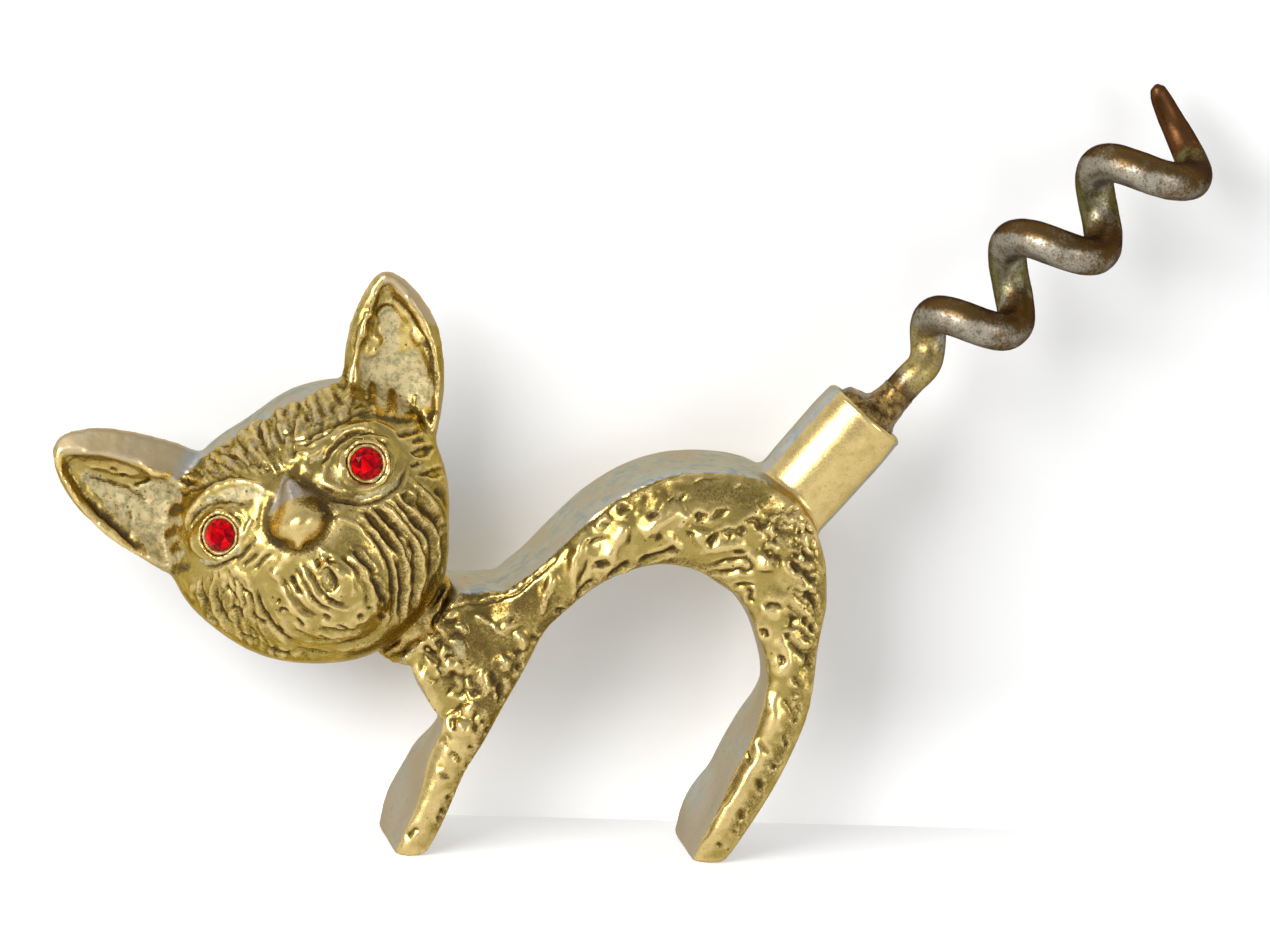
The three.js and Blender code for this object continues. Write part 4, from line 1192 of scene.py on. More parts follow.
# Marks on the face, in millimetres across and up the face as the photograph shows it, from between the eyes
FACE_MARKS: list[Stroke] = [
    *read_marks("""
    # pitted left cheek
    F 0.7 0.24: -6.4,5 -10.9,0.6 -8.8,0.6 -6,0 -5.6,-1.4 -6.1,-3 -6.3,-6 -5.4,-8 -3.4,-10.2 -7.2,-9.2 -9.8,-6.6
    -11.3,-2.4;
    # mouth
    P 0.2 0.26: -0.6,-3.5 0.1,-3.2 0.75,-3.4 0.82,-4.5 0.72,-5.1 0.1,-5.5 -0.55,-5.4 -0.68,-4.3;
    G 0.17 0.22: -1,-2.5 -0.95,-3.8 -0.9,-4.8 -0.75,-5.7 -0.2,-6.5 0.5,-6.9 / 0,-2.3 -0.1,-3 / 0.6,-2.1 0.9,-2.8
    1,-3.5;
    R 0.26 0.2: -1.4,-1.8 -1.45,-3.6 -1.3,-5.2 -0.8,-6.4 0.2,-7.2 1.2,-7.4 / 0.5,-1.5 1,-2.4 1.7,-3.2 2.1,-4.2
    2.2,-5.4;
    # locks of the muzzle
    G 0.22 0.2: -2,-2.1 -1.95,-3.6 -1.8,-5 -1.4,-6 -0.7,-6.9 / -3.25,-2 -3.25,-3.6 -3.15,-4.9 -2.8,-5.9 -2.2,-6.8 /
    -2.7,-7.5 -1.9,-8.1 -0.9,-8.7 0.2,-9.3 / -4.5,-5.8 -4.3,-7 -3.5,-8.1 -2.4,-8.9 -1.2,-9.6 0.4,-10.1 2,-10.2 /
    -5,-8.4 -4,-9.2 -2.6,-10 -0.8,-10.7 1.4,-11 / 2,-3 2.45,-4.2 2.7,-5.7 2.5,-7 1.8,-8;
    R 0.6 0.3: -3.9,-2.5 -3.2,-1.6 -2.3,-1.2 -1.3,-1.25 / -1,-0.3 -0.9,-0.8 / 0.3,-2.3 0.9,-2.5;
    R 0.45 0.25: -3.7,-1.5 -3.75,-3.2 -3.7,-4.8 -3.3,-6.4 -2.6,-7.4 / -4.9,-2.2 -5.1,-4 -4.9,-5.8 -4.3,-7.8 -3.4,-8.8
    / -2,-7.2 -1,-8 0.6,-8.6 2,-8.4 / 1.6,-4 1.7,-5.6 1.2,-6.6 / 2.9,-3.4 3,-5.4 2.9,-7.4 2.2,-8.8 / -2.9,-9.6
    -1,-10.3 1.2,-10.6 3,-10.2;
    G 0.2 0.3: -5.85,-2.6 -6,-3.8 -5.95,-5.2 -5.6,-6.4 -5.1,-7.6 / -5.5,-5.9 -5.3,-6.8 -5,-7.4;
    G 0.3 0.34: -2.55,-2.6 -2.6,-3.6 -2.5,-4.6;
    G 0.22 0.26: -3.8,-6.1 -3.5,-6.9 / -1.7,-6.9 -1.1,-7.4 / 2.6,-8.9 2.9,-9.5 / 0.9,-8.3 1.5,-8.2;
    G 0.14 0.24: -2.7,-2.8 -2.5,-3.4 -2.6,-4.2 / -0.9,-8 -0.3,-8.5 -0.1,-9.1 0.4,-9.3 / -2.6,-8.2 -2.2,-8.9 -1.7,-9.3
    -1.3,-9.1 / -4.75,-5.1 -4.5,-4.75 -4,-5.1 / -4.6,-4.1 -4.3,-4.15 / 2,-8 2.3,-7.9 / -1.75,-5.1 -1.6,-5.2;
    G 0.24 0.34: 3.2,-3 3.35,-3.9 3.5,-4.7 3.8,-5.4 / 3.3,-5.9 3.75,-6.6 3.4,-7.3 3.8,-8.2;
    R 0.2 0.26: 2.9,-0.2 3.6,-0.4 4.15,-1.1 4.45,-2;
    G 0.22 0.28: 4.7,-1.4 5.1,-2.8 5.4,-4.2 5.3,-5.6 4.9,-7 4.3,-8.4 3.4,-9.8;
    # right cheek
    G 0.24 0.4: 5.3,-0.4 5.7,-1.9 6,-3.4 6.4,-5 / 6.2,-5.5 5.8,-6.4 5.5,-7.4 4.8,-8.5 4,-9.9 / 6.3,-0.7 6.7,-1.7
    7,-2.8 7.4,-3.7 / 7.5,-4.4 7.8,-5.2 7.3,-6 7,-7 6.4,-8 5.4,-9.4 / 8.2,-0.8 8.5,-2 8.8,-3.3 9.2,-4.2 9.3,-5 9,-6
    8.5,-7 7.6,-8.2 6.2,-9.6;
    G 0.32 0.42: 9.8,-1.7 10.2,-3 10.5,-4.2 10.3,-5.3 9.8,-6.5 9,-7.7 7.7,-8.9 6.2,-10.2 / 11.6,-1.4 11.9,-2.4
    11.7,-3.6;
    G 0.13 0.16: 7.4,-0.5 7.9,-1.8 8.2,-3.2 8.5,-4.8 8.2,-6.2 / 5.7,-3.9 5.9,-5 5.7,-6 / 6.9,-3.6 7,-4.8 6.7,-6 /
    10.3,0 10.9,-1.4 11.1,-2.8 10.9,-4.2;
    R 0.2 0.2: 5.9,-0.9 6.3,-2.6 6.7,-4.2 6.8,-5.4 6.3,-7 5.4,-8.8 / 7,-0.6 7.6,-2.2 8,-4 8.2,-5.4 7.8,-6.8 6.8,-8.4 /
    8.9,-1.9 9.4,-3.2 9.8,-4.6 9.5,-6.2 8.6,-7.8 / 9.9,0.4 10.6,-1.2 10.95,-3 10.8,-4.8 10.2,-6.4;
    P 0.16 0.25: 8.7,-0.6 9.3,-0.55 9.55,-1.4 9.2,-1.9 8.8,-1.5 / 11,2.3 12.2,2.3 12.9,1.9 12.2,1.4 11.2,1.7 /
    10.8,0.3 12,0.2 13,0 12.9,-0.7 11.8,-0.5;
    G 0.2 0.22: 10.4,1.2 11.3,1.1 / 10.6,4.2 11.6,3.7 12.6,3.7 / 11.4,3 12.6,2.9;
    # left cheek
    R 0.2 0.28: -8.4,0.1 -9.2,-0.6 -9.55,-1.6 -9.65,-2.9 -9.5,-4 -9.2,-4.8;
    G 0.2 0.22: -10,-0.4 -10.2,-1.8 -10.1,-3.2 -9.7,-4.6 -9.1,-5.8 -8.2,-7.2 / -8.6,-0.7 -9.1,-1.6 -9.2,-3 -8.9,-4.2;
    G 0.17 0.26: -8,-1.2 -7.5,-1.9 -7.7,-2.6 / -6.9,-1.9 -6.3,-2.4 -6.5,-3.2 / -8.4,-2.8 -7.7,-3.3 -7.9,-4.1 / -7,-4
    -6.6,-4.9 -6.2,-5.4 / -8.7,-5.2 -8.1,-5.8 -7.6,-6.4 / -7.2,-7.2 -6.4,-8 -5.6,-8.8;
    G 0.18 0.2: -5.2,-0.9 -4.2,-0.35 -3.2,-0.3 / -5.9,-0.2 -5.2,0.2 -4.3,0.2;
    # hollows beside the nose
    C 0.6 0.12: 1,2.8 2.6,2.2 3.3,0.3 2.8,-0.4 1.9,0.7;
    S 0.55 0.55: 1.2,2.3 2,1.4 2.7,0.3;
    G 0.45 0.22: 1.5,5.2 2,4.2 2.6,3 3.2,2 4,1.2 5.2,0.4;
    G 0.4 0.14: -1,4.7 -1.9,3.7 -2.8,2.9 -3.1,1.8 -3,0.7 -2.2,0.1 -1.1,-0.2;
    R 0.24 0.22: -0.8,0 -0.75,-0.8;
    # brows and lids
    R 0.24 0.26: -9,4.5 -8.3,5.6 -7,6.5 -5.4,6.9 -3.7,6.7 -2.3,6 -1.4,5.1 / 5.4,6.1 7,6.4 8.8,6 10.2,5 10.5,3.8 /
    1.2,6.2 2,5.9 2.6,6.3 3.4,5.6 4.4,6;
    R 0.16 0.16: -8.6,4.3 -7.7,5 -6.5,5.2 -5.3,4.7 / -5.4,2.1 -4.5,2.3 -3.8,2.7 -3.4,3.2 / 4.9,4.8 6,5.5 7.4,5.5 8.6,5
    / 5.2,1.7 6.6,1.15 8.2,1.25 9.4,2 10.1,3;
    G 0.16 0.2: -8.6,4.9 -7.4,5.7 -5.6,5.7 -4.2,5.1 -3.3,4.2 / -9,1.2 -7.2,0.6 -5.4,0.8 -4,1.5 / -5,4.6 -4.4,3.8
    -4.3,3 / 3.6,4.4 4.8,5.3 6.4,5.85 8.6,5.5 9.8,4.4 / 3.4,1.6 4.6,0.7 6,-0.1 7.6,-0.2 9,0.2 10.4,1.6 / 8.9,4.6
    9.5,3.6 9.3,2.4;
    R 0.3 0.18: 3.3,3.5 4,4.3 4.8,4.7 / 3.3,3.2 3.9,2.3 4.8,1.8;
    # forehead locks
    F 0.78 0.3: 0.6,1 -8.4,7.4 -7,9.6 -3,10.6 1,11 5,11 8.8,10.8 9.4,7.6 5.6,6.8 3.2,6.6 1.2,5.8 -0.4,5.6 -2.4,6.6
    -5.6,7.2;
    G 0.28 0.18: -4.4,9 -4.2,7.8 / -2.9,9.6 -2.7,8.2 -2.2,7 / -1.5,10 -1.4,8.4 -0.9,6.6 / 0.1,10.3 0.3,8.2 0.4,6.2 /
    1.5,10.4 1.3,9.2 1.5,7.4 / 2.9,10.5 2.8,8.4 / 4.2,10.4 4.5,8.2 / 5.9,10.5 5.7,9 6,7.9 / 7.3,10.3 7.6,8.2 / -6.2,9
    -5.6,8;
    G 0.15 0.18: 2,7.5 3.4,7.1 5,7.35 6.6,7.1 8.6,7.3 9.6,6.8 / 2.8,6.8 4.4,6.7 6.4,6.95 / -8.2,7.6 -6.6,7.4 -5,7.35
    -3.2,7.2 / -7.6,8.8 -6.9,8 -6.2,7.9 / -7.2,9.2 -6.4,8.7;
    """),
    *random_strokes(43, 14, (-7.0, 6.6), (9.6, 9.6), lambda x, y: 1.5 + 0.03 * x, 0.6),
    # broad dirt, and painted shade in the valley between the nose and the right eye
    # painted shade along the inside of the rim, where the dish falls away
    *read_marks("""
    # right ear
    R 0.16 0.1: 9.2,11.8 10.2,13.2 11.3,14.4 12.6,15.5 14,16.3 / 15.6,15.4 16.2,14.1 16.5,12.8 / 16.6,11 16.8,9.8
    16.3,8.2 15.7,6.4;
    G 0.18 0.16: 9.8,11.4 10.8,13 12.2,14.4 13.8,15.5 / 15.3,14.9 15.9,13.4 16.1,11.6 16.2,9.6 15.8,8;
    R 0.4 0.2: 11.2,13.4 12.2,12.8 12.6,11.6 / 12.8,14.6 13.3,13.4 / 15.5,11.6 15.7,10.2 / 14.2,15.2 15.1,14.4;
    G 0.12 0.1: 13.4,13.4 13.6,14.3 14.4,14.6 15,14 15.1,12.6;
    R 0.8 0.3: 11.4,11 12,12.1 12.8,13.5;
    R 0.65 0.12: 14.1,10 14.7,11.1 15.3,12.4;
    R 0.46 0.3: 8.2,8 8.9,9.6 9.4,11.2 / 9.1,5.9 9.9,7.8 10.6,9.3 / 10.6,5.3 11.3,6.9 11.9,8.1 / 12.1,4.2 12.8,5.6
    13.45,6.7;
    S 0.4 0.8: 8.3,8.2 8.9,9.6 9.3,10.9 / 9.7,7.4 10.1,8.4 10.5,9.4 / 11,6.4 11.4,7.4 11.8,8.2 / 12.45,5.4 12.9,6.1
    13.3,6.6;
    S 0.3 0.9: 16.1,10 15.9,8.6 15.6,7.2 15.2,6.2 / 13.6,4.3 14.4,4.4 / 8.6,7 9.6,6.2 11.4,5 12.6,4.5;
    S 0.7 0.45: 11,12.8 12.4,14 14,15.2;
    # left ear
    R 0.15 0.24: -16.3,14.6 -16.35,12.2 -16,9.8 -15,7.2 -13.9,5.2 -13.2,3.8;
    R 0.42 0.3: -14.9,14 -13.6,13.2 -12.2,12 -10.8,11 -9.2,10.2 -8.2,9.7;
    G 0.3 0.14: -15.7,14.4 -15.6,12.4 -15.2,10.4;
    G 0.3 0.34: -15.3,10.9 -14.5,8.4 -13.8,6.8 -13.3,5.3;
    G 0.18 0.22: -14.6,12.5 -13.6,11.6 -12.6,10.7 -11.6,9.6 -10.8,8.3 / -11.4,10.2 -10.6,9.8 -9.8,9.8 / -12.5,12.3
    -12,11.9 / -11.9,11.4 -11.5,11.1;
    G 0.2 0.16: -13.4,9.3 -13.3,8.9 / -12.7,8.3 -12.7,7.6;
    R 0.5 0.16: -9.6,6.3 -9,6.8 -8.5,6.5 / -10.8,5 -10,5.1 -9.3,5.2 / -11,3.6 -10.2,3.8 -9.6,3.7 / -11.8,1.9 -11,2.2
    -10.3,1.9;
    S 0.42 1: -9.5,6.3 -9,6.7 -8.6,6.5 / -10.7,5 -10,5.1 -9.4,5.2 / -10.9,3.6 -10.2,3.7 / -11.7,1.9 -11,2.1 -10.4,1.9;
    S 0.35 0.85: -12,1 -11.6,-0.4 -11.4,-1 / -14.7,9.2 -14.4,8.4 -13.7,6.7 -13.3,5.3;
    # broad dirt
    S 1.7 0.5: 6,-1.2 6.9,-3.8 6.8,-6.2 5.4,-8.8 / 9.2,-1.4 9.9,-4 9,-7.2 6.6,-9.6;
    S 0.9 0.6: 10.2,-6 8.6,-8.6 5.8,-10.4 2.4,-11.2 -1.2,-11.2 / 1.5,5.2 2.3,3.4 3.4,1.8 5,0.6 / 3.4,-3.2 3.6,-5.4
    3.5,-8.2;
    S 0.7 0.5: -10.3,-0.6 -10.3,-3.2 -9.2,-6 -7,-8.6 -4,-10.4 / 0.3,5.6 -0.2,6.8;
    S 1.7 0.26: -5.6,8.4 -2.4,8.2 0.6,7.6 3.6,8.4 8.2,8.6;
    S 1.4 0.3: -8.6,-1.6 -8.4,-4 -7,-6.6 / 3.2,-2 4,-3.8;
    """),
]

# Parts of the ears' outsides that are ground like the back
SATIN_EARS = (
    traced("-15.7,15.3 -12.6,13.3 -9.8,11.2 -7.8,9.4 -5.4,10.2 -5.4,14 -12,17 -17,18.5"),
    traced("14.9,16.9 16.2,14.4 16.9,12.2 17.4,11 19,12 18,16.5 16,18.5 14.5,18"),
)

# Pale deposit in the hollows of the head
FACE_DEPOSITS: list[Stroke] = [
    *read_marks("""
    W 0.25 1: -15,12.8 -14.6,13 -13.9,12.5 -13.3,11.7 -12.3,10.6 -11.3,9.9 -10.4,9.8 -9.6,10.2 -8.9,9.6 -8.2,9.1
    -7.5,8.4 -8.2,7.5 -8.6,6.6 -9.1,5.4 -9.5,4.4 -10,3.2 -10.5,1.8 -11.5,1.2 -12.2,2.4 -12.9,3.9 -13.1,5.8 -13.7,7.6
    -14.5,9.3 -14.5,10.8 -15.1,12 / 9.7,10.2 10.4,11.3 11.3,11.8 12.2,11.4 12.9,11.8 13.2,13.5 14,14.4 15,14.2
    15.3,12.8 15.3,11.4 15.4,9.8 15.3,8.4 15.2,7.4 14.9,6.4 14.4,5.3 13.6,4.9 12.2,5.4 11,5.4 10.4,6.4 9.6,7.8
    9.5,9.2;
    W 0.2 0.85: -8.3,5.2 -7.4,6 -5.8,6.5 -4,6.2 -2.2,5.5 -1.3,4.6 -1.6,4.1 -2.6,4.5 -4,4.9 -5.4,5.4 -7.2,5.5 /
    -9.1,2.3 -8.9,1.3 -7.8,0.9 -6.5,0.9 -5.2,1.1 -4.2,1.7 -5.5,1.4 -7,1.4 -8.2,1.8 / 2.6,5 3.4,5.7 4.4,5.8 4.2,5.1
    3.2,4.9 / 5,5.4 6.4,6.1 8,5.9 8.6,5.4 6.8,5.6 / 5,1.1 6,0.2 7.6,-0.2 9,0.1 9.4,0.9 7.9,0.7 6.4,0.9 / 4.3,4.3
    4.9,4.4 4.8,3.2 5,2.2 4.4,2.2 4.2,3.2;
    """),
]

# The flat grey bridge over the nose
BRIDGE = traced("-1.9,2.75 -1,3.6 0,4.6 0.6,5.2 1.1,4.6 1.8,3.3 2.4,2.2 1.4,2.9 0.4,3.2 -0.8,3.05")

# Lower edge of the ground top of the head
DOME_EDGE = traced("-9,8.2 -6,9.2 -2.6,10 1,10.4 4.5,10.5 9,10.3")


@dataclass
class HeadCasting:
    """The head, with its dished ears, locks of fur, brows, lids and the rimmed seats of the stones."""

    skin: float = 0.285
    middle: Triple = (-30.312, -1.68, 27.064)
    picture_middle: tuple[float, float] = (-27.897, 26.838)
    tilt: float = 25.91  # of the face on the photograph, in degrees
    nose_middle: tuple[float, float] = (-0.1, 1.25)
    eyes: tuple[tuple[float, float], ...] = ((-6.9, 3.2), (7.05, 3.1))
    nose_rise: float = 1.1
    bridge_rise: float = 0.75
    rim_radius: float = 2.05
    rim_rise: float = 0.17
    waves: tuple[Triple, ...] = ((2.0, 5.0, 0.12), (0.9, 9.0, 0.07), (0.45, 14.0, 0.025))

    def flat(self, points: Points) -> Points:
        """Where points fall on the face's drawing, whose zero lies between the eyes and the nose."""
        x, y = (VIEW.flat(points) - np.array(self.picture_middle)).T
        a = math.radians(self.tilt)
        return np.stack([x * math.cos(a) + y * math.sin(a), y * math.cos(a) - x * math.sin(a)], axis=1)

    def depth(self, points: Points) -> Points:
        """How far points stand towards the viewer from the middle of the head."""
        return (points - np.array(self.middle) - np.array(MAKERS_ZERO)) @ np.array(BACK)

    def raise_nose(self, work: Surface, front: Points) -> None:
        """Draws the nose out into a round knob with a bridge that runs up between the brows.

        Args:
            work: The head's surface.
            front: How far each point belongs to the face.
        """
        x, y = self.flat(work.points).T
        a, b = self.nose_middle
        knob = np.clip(1.0 - ((x - a) / 2.65) ** 2 - ((y - b) / 2.2) ** 2, 0.0, 1.0)
        rise = np.clip((y - 1.2) / 4.0, 0.0, 1.0)
        bridge = np.clip(1.0 - np.abs(x - 0.15 - 0.5 * rise) / (2.3 * (1.0 - rise) + 0.25), 0.0, 1.0)
        bridge = bridge * smoothstep(y, 0.8, 1.6) * (1.0 - smoothstep(y, 4.4, 5.4))
        lift = np.maximum(self.nose_rise * knob, self.bridge_rise * bridge) * front
        for _ in range(3):
            lift = work.spread(lift)
        work.points = work.points + lift[:, None] * np.array(BACK)

    def build(self, material: Material) -> Piece:
        """Skins, polishes and chases the casting.

        Args:
            material: The brass.

        Returns:
            The casting.
        """
        piece = skinned("head_casting", casting_copy("cat_head"), self.skin)
        finer_skin(piece, lambda middle, normal: normal.dot(BACK) > 0.2)
        work = Surface(piece.data)
        flat = self.flat(work.points)
        seat = np.min([np.hypot(flat[:, 0] - x, flat[:, 1] - y) for x, y in self.eyes], axis=0)
        front = smoothstep(self.depth(work.points), -1.0, 1.0)
        keep = np.clip(smoothstep(seat, 1.9, 2.6) + (1.0 - front), 0.0, 1.0)
        work.even(2)
        work.polish(17, SHARP, keep)
        work.polish(11, 0.5, keep * front)
        nose = front * (1.0 - smoothstep(np.hypot(flat[:, 0] - 0.3, flat[:, 1] - 1.2), 2.4, 4.0))
        work.polish(31, SOFT, nose)
        self.raise_nose(work, front)
        p, n = work.points, work.normals()
        flat, depth = self.flat(p), self.depth(p)
        facing = n @ np.array(BACK)
        front = smoothstep(facing, 0.05, 0.35)
        relief = Relief.over(len(p))
        away = front * smoothstep(seat, 1.95, 2.2)
        drawn = wavered(flat, p, 0.09, 0.8, 61.0)
        relief.cut(wavered(flat, p, 0.3, 0.9, 71.0), FACE_DEPOSITS, away)
        relief.cut(drawn, FACE_MARKS, away)
        relief.height += dents(p, self.waves) * away * (1.0 - 0.8 * nose)
        rim = bell(seat - self.rim_radius, 0.2) * (0.7 + 0.5 * grain(p, 0.9, 17.0))
        relief.height += self.rim_rise * rim * front
        x, y = flat.T
        ear = smoothstep(np.hypot(x - 1.0, y), 12.6, 13.4)
        line = np.interp(x, *np.array(DOME_EDGE).T) + 0.25 * grain(p, 1.0, 81.0)
        dome = np.maximum(1.0 - smoothstep(depth, -0.7, 0.5), smoothstep(y - line, -0.2, 0.2)) * (1.0 - ear)
        forehead = 0.42 * smoothstep(y, 6.4, 8.0) * smoothstep(x, -7.5, -5.5) * (1.0 - smoothstep(x, 8.0, 9.5))
        bridge = 0.9 * front * smoothstep(depth_inside(flat, BRIDGE), -0.25, 0.1)
        ear_back = ear * (1.0 - smoothstep(facing, 0.1, 0.45))
        for outline in SATIN_EARS:
            ear_back = np.maximum(ear_back, front * smoothstep(depth_inside(flat, outline), -0.2, 0.2))
        satin = np.clip(np.maximum(dome, ear_back), 0.0, 1.0)
        work.push(relief.height * (1.0 - 0.7 * satin))
        work.polish(1, SOFT, away)
        hollow = work.hollow(9) * (1.0 - satin) * smoothstep(facing, -0.1, 0.2)
        # Painted shade in the face's broad creases, such as beside the nose, round the eyes and at the roots of the
        # ears.
        crease = 0.75 * smoothstep(work.hollow(54) * (1.0 - satin), 0.06, 0.4) * front
        off_nose = np.hypot(x - self.nose_middle[0], y - self.nose_middle[1])
        # A painted ring of shade round the foot of the nose.
        ring = 0.55 * bell(off_nose - 2.5, 0.5) * front * (1.0 - bridge)
        clear = (1.0 - 0.8 * satin) * smoothstep(seat, 1.9, 2.35) * (1.0 - 0.55 * smoothstep(-hollow, 0.01, 0.07))
        # Dirt from the marks, the two painted shades above, and patina with painted shade in the small hollows, less
        # on the nose, the satin, the seats and the crests.
        stain = relief.stain * (1.0 - 0.8 * relief.pale) + ring + crease * (1.0 - relief.pale)
        work.marks = {
            "stain": (stain + 0.8 * smoothstep(hollow, 0.02, 0.15) * (1.0 - 0.5 * nose)) * clear,
            "crest": np.maximum(smoothstep(-hollow, 0.0, 0.07), 0.85 * nose),
            "ground": np.maximum(satin, np.maximum(forehead, bridge)),
            # The ground back of the head, short of its far side, takes a painted sky reflection.
            "cool": dome * smoothstep(depth, -9.0, -4.0),
            "tan": ear,
            "pale": relief.pale,
        }
        work.write()
        set_down(piece, material, "brass", "cat_head")
        return piece


# Stones, worm and solder


@dataclass
class EyeStones:
    """The two red stones, cut as round brilliants, and the cement that they sit in."""

    rings: tuple[tuple[float, float, float, int], ...] = (
        (0.56, 0.54, 0.0, 8), (0.79, 0.34, 0.5, 8), (1.0, 0.05, 0.0, 16),
        (1.0, -0.04, 0.0, 16), (0.5, -0.62, 0.5, 8), (0.02, -1.08, 0.0, 3),
    )  # share of the radius, height, turn in corners, and count of corners, from the table to the point
    cement_skin: float = 0.09

    def place(self, side: str) -> tuple[Vector, Vector, float]:
        """Where a stone sits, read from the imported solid.

        Args:
            side: left or right.

        Returns:
            The middle of its girdle, the way it faces, and its radius.
        """
        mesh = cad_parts[f"{side}_eye_stone"].data
        points = np.array([v.co for v in mesh.vertices]) / MM
        centre = points.mean(0)
        triangles = [(p.area, p.normal.copy(), Vector(p.center) / MM) for p in mesh.polygons]
        table = [t for t in triangles if t[1].dot(BACK) > 0.6]
        way = max(table, key=lambda t: sum(o[0] for o in table if o[1].dot(t[1]) > 0.999))[1]
        heights = (points - centre) @ np.array(way)
        across = points - centre - heights[:, None] * np.array(way)
        radius = float(np.linalg.norm(across, axis=1).max())
        rim = points[np.linalg.norm(across, axis=1) > 0.97 * radius]
        return Vector(rim.mean(0)), way.normalized(), radius

    def build(self, glass: Material, cement: Material) -> None:
        """Cuts both stones and dresses the cement.

        Args:
            glass: Finish of the stones.
            cement: Finish of the cement.
        """
        for side in ("left", "right"):
            middle, way, radius = self.place(side)
            bm = bmesh.new()
            for share, height, turn, count in self.rings:
                spin = Matrix.Rotation(2.0 * math.pi * turn / count, 4, "Z")
                lift = Matrix.Translation((0.0, 0.0, height))
                bmesh.ops.create_circle(bm, segments=count, radius=share * radius, matrix=lift @ spin)
            bmesh.ops.convex_hull(bm, input=bm.verts)
            bmesh.ops.delete(bm, geom=[v for v in bm.verts if not v.link_faces], context="VERTS")
            bmesh.ops.delete(bm, geom=[e for e in bm.edges if not e.link_faces], context="EDGES")
            bmesh.ops.recalc_face_normals(bm, faces=bm.faces)
            turn = way.to_track_quat("Z", "Y").to_matrix().to_4x4()
            bmesh.ops.transform(bm, matrix=Matrix.Translation(middle) @ turn, verts=bm.verts)
            stone = mesh_object(f"{side}_stone", bm)
            # Each facet gets its own share of the painted glint.
            rng = np.random.default_rng(len(side))
            glints = stone.data.attributes.new("glint", "FLOAT", "FACE")
            shares = rng.permutation(np.linspace(0.0, 1.0, len(stone.data.polygons)) ** 1.3)
            glints.data.foreach_set("value", shares.astype(np.float32))
            set_down(stone, glass, "red_glass", f"{side}_eye_stone")
            bed = skinned(f"{side}_cement", casting_copy(f"{side}_eye_cement"), self.cement_skin)
            work = Surface(bed.data)
            work.push(0.05 + grain(work.points, 0.5, 3.0) * 0.09)
            work.write()
            set_down(bed, cement, "cement", f"{side}_eye_cement")


@dataclass
class Worm:
    """The steel worm: a straight shank that opens into a right-handed helix with a ground tip."""

    wire_radius: float = 1.65
    shank_radius: float = 1.4
    worm_radius: float = 4.48
    pitch: float = 9.8
    angle: float = 43.4
    lift: float = 0.19
    lead_start: float = 4.3
    lead_in: float = 6.95
    first_low: float = 14.3
    turns: float = 2.36
    tip_taper: float = 13.0
    tip_fullness: float = 0.4
    tip_radius: float = 0.3
    tip_swing: float = 2.95
    tip_draw: float = 0.7
    shank_offset: float = 0.95
    shank_depth: float = 7.5
    segments: int = 40
    steps: int = 300

    def end(self) -> float:
        """Height of the tip along the worm's axis."""
        return self.first_low + self.turns * self.pitch

    def centre(self, height: float) -> Vector:
        """Centre of the wire at a height along the axis from the socket's mouth."""
        mouth, far = Vector(SOCKET_MOUTH), Vector((0.0, 1.0, 0.0))
        turn = 2.0 * math.pi * (height - self.first_low) / self.pitch
        tip = float(smoothstep(np.array(height), self.end() - self.pitch / 2, self.end()))
        radius = self.worm_radius - self.wire_radius + self.tip_swing * tip
        axis, low = map(Vector, slope(self.angle))
        helix = mouth + low * (radius * math.cos(turn) - self.lift) + far * (radius * math.sin(turn))
        helix += axis * (height - self.tip_draw * tip)
        bore, under = map(Vector, slope(SOCKET_ANGLE))
        shank = mouth + under * self.shank_offset + bore * height
        return shank.lerp(helix, self.opened(height))

    def opened(self, height: float) -> float:
        """How far the shank has opened into the helix."""
        return float(smoothstep(np.array(height), self.lead_start, self.lead_start + self.lead_in))

    def build(self, material: Material) -> Piece:
        """Draws the wire along its path.

        Args:
            material: The steel.

        Returns:
            The worm.
        """
        length = self.end() + self.shank_depth
        heights = [-self.shank_depth + length * i / self.steps for i in range(self.steps + 1)]
        centres = [self.centre(h) for h in heights]
        left = [0.0]
        for a, b in zip(centres[::-1], centres[-2::-1]):
            left.append(left[-1] + (a - b).length)
        left.reverse()
        rings = []
        up = Vector((0.0, 1.0, 0.0))
        for i, centre in enumerate(centres):
            run = (centres[min(i + 1, self.steps)] - centres[max(i - 1, 0)]).normalized()
            up = (up - run * up.dot(run)).normalized()
            ground = max(0.0, min(1.0, left[i] / self.tip_taper)) ** self.tip_fullness
            full = self.shank_radius + (self.wire_radius - self.shank_radius) * self.opened(heights[i])
            radius = self.tip_radius + (full - self.tip_radius) * ground
            turn = Matrix((up.cross(run) * radius, up * radius, run * radius)).transposed().to_4x4()
            rings.append(Matrix.Translation(centre) @ turn)
        bm = bmesh.new()
        draw_bar(bm, self.segments, rings)
        piece = mesh_object("worm_wire", bm)
        work = Surface(piece.data)
        p = work.points
        work.push(grain(p, 1.7, 2.0) * 0.045 + np.minimum(grain(p, 0.45, 6.0, 2), 0.0) * 0.03)
        low = (p - SOCKET_MOUTH) @ slope(self.angle)[1]
        reach = np.linalg.norm(p - SOCKET_MOUTH, axis=1)
        tip = np.linalg.norm(p - np.array(centres[-1]), axis=1)
        top = smoothstep(work.normals()[:, 2], -0.3, 0.6)
        coiled = smoothstep(reach, 7.0, 11.0)
        behind = smoothstep(p[:, 1] - SOCKET_MOUTH[1], -0.2, 2.2)
        brown = np.maximum(smoothstep(low, -0.8, 2.8) * (0.4 + 0.6 * top), 0.85 * smoothstep(top, 0.5, 1.0))
        brown = brown * coiled * (1.0 - 0.7 * behind)
        work.marks = {
            "brown": np.maximum(brown, 0.9 * (1.0 - smoothstep(reach, 3.4, 5.4))),
            "olive": coiled * behind,
            "gilt": 1.0 - smoothstep(reach, 6.5, 10.5),
            "rust": 1.0 - smoothstep(tip, 4.5, 7.5),
        }
        work.write()
        set_down(piece, material, "steel", "worm")
        return piece


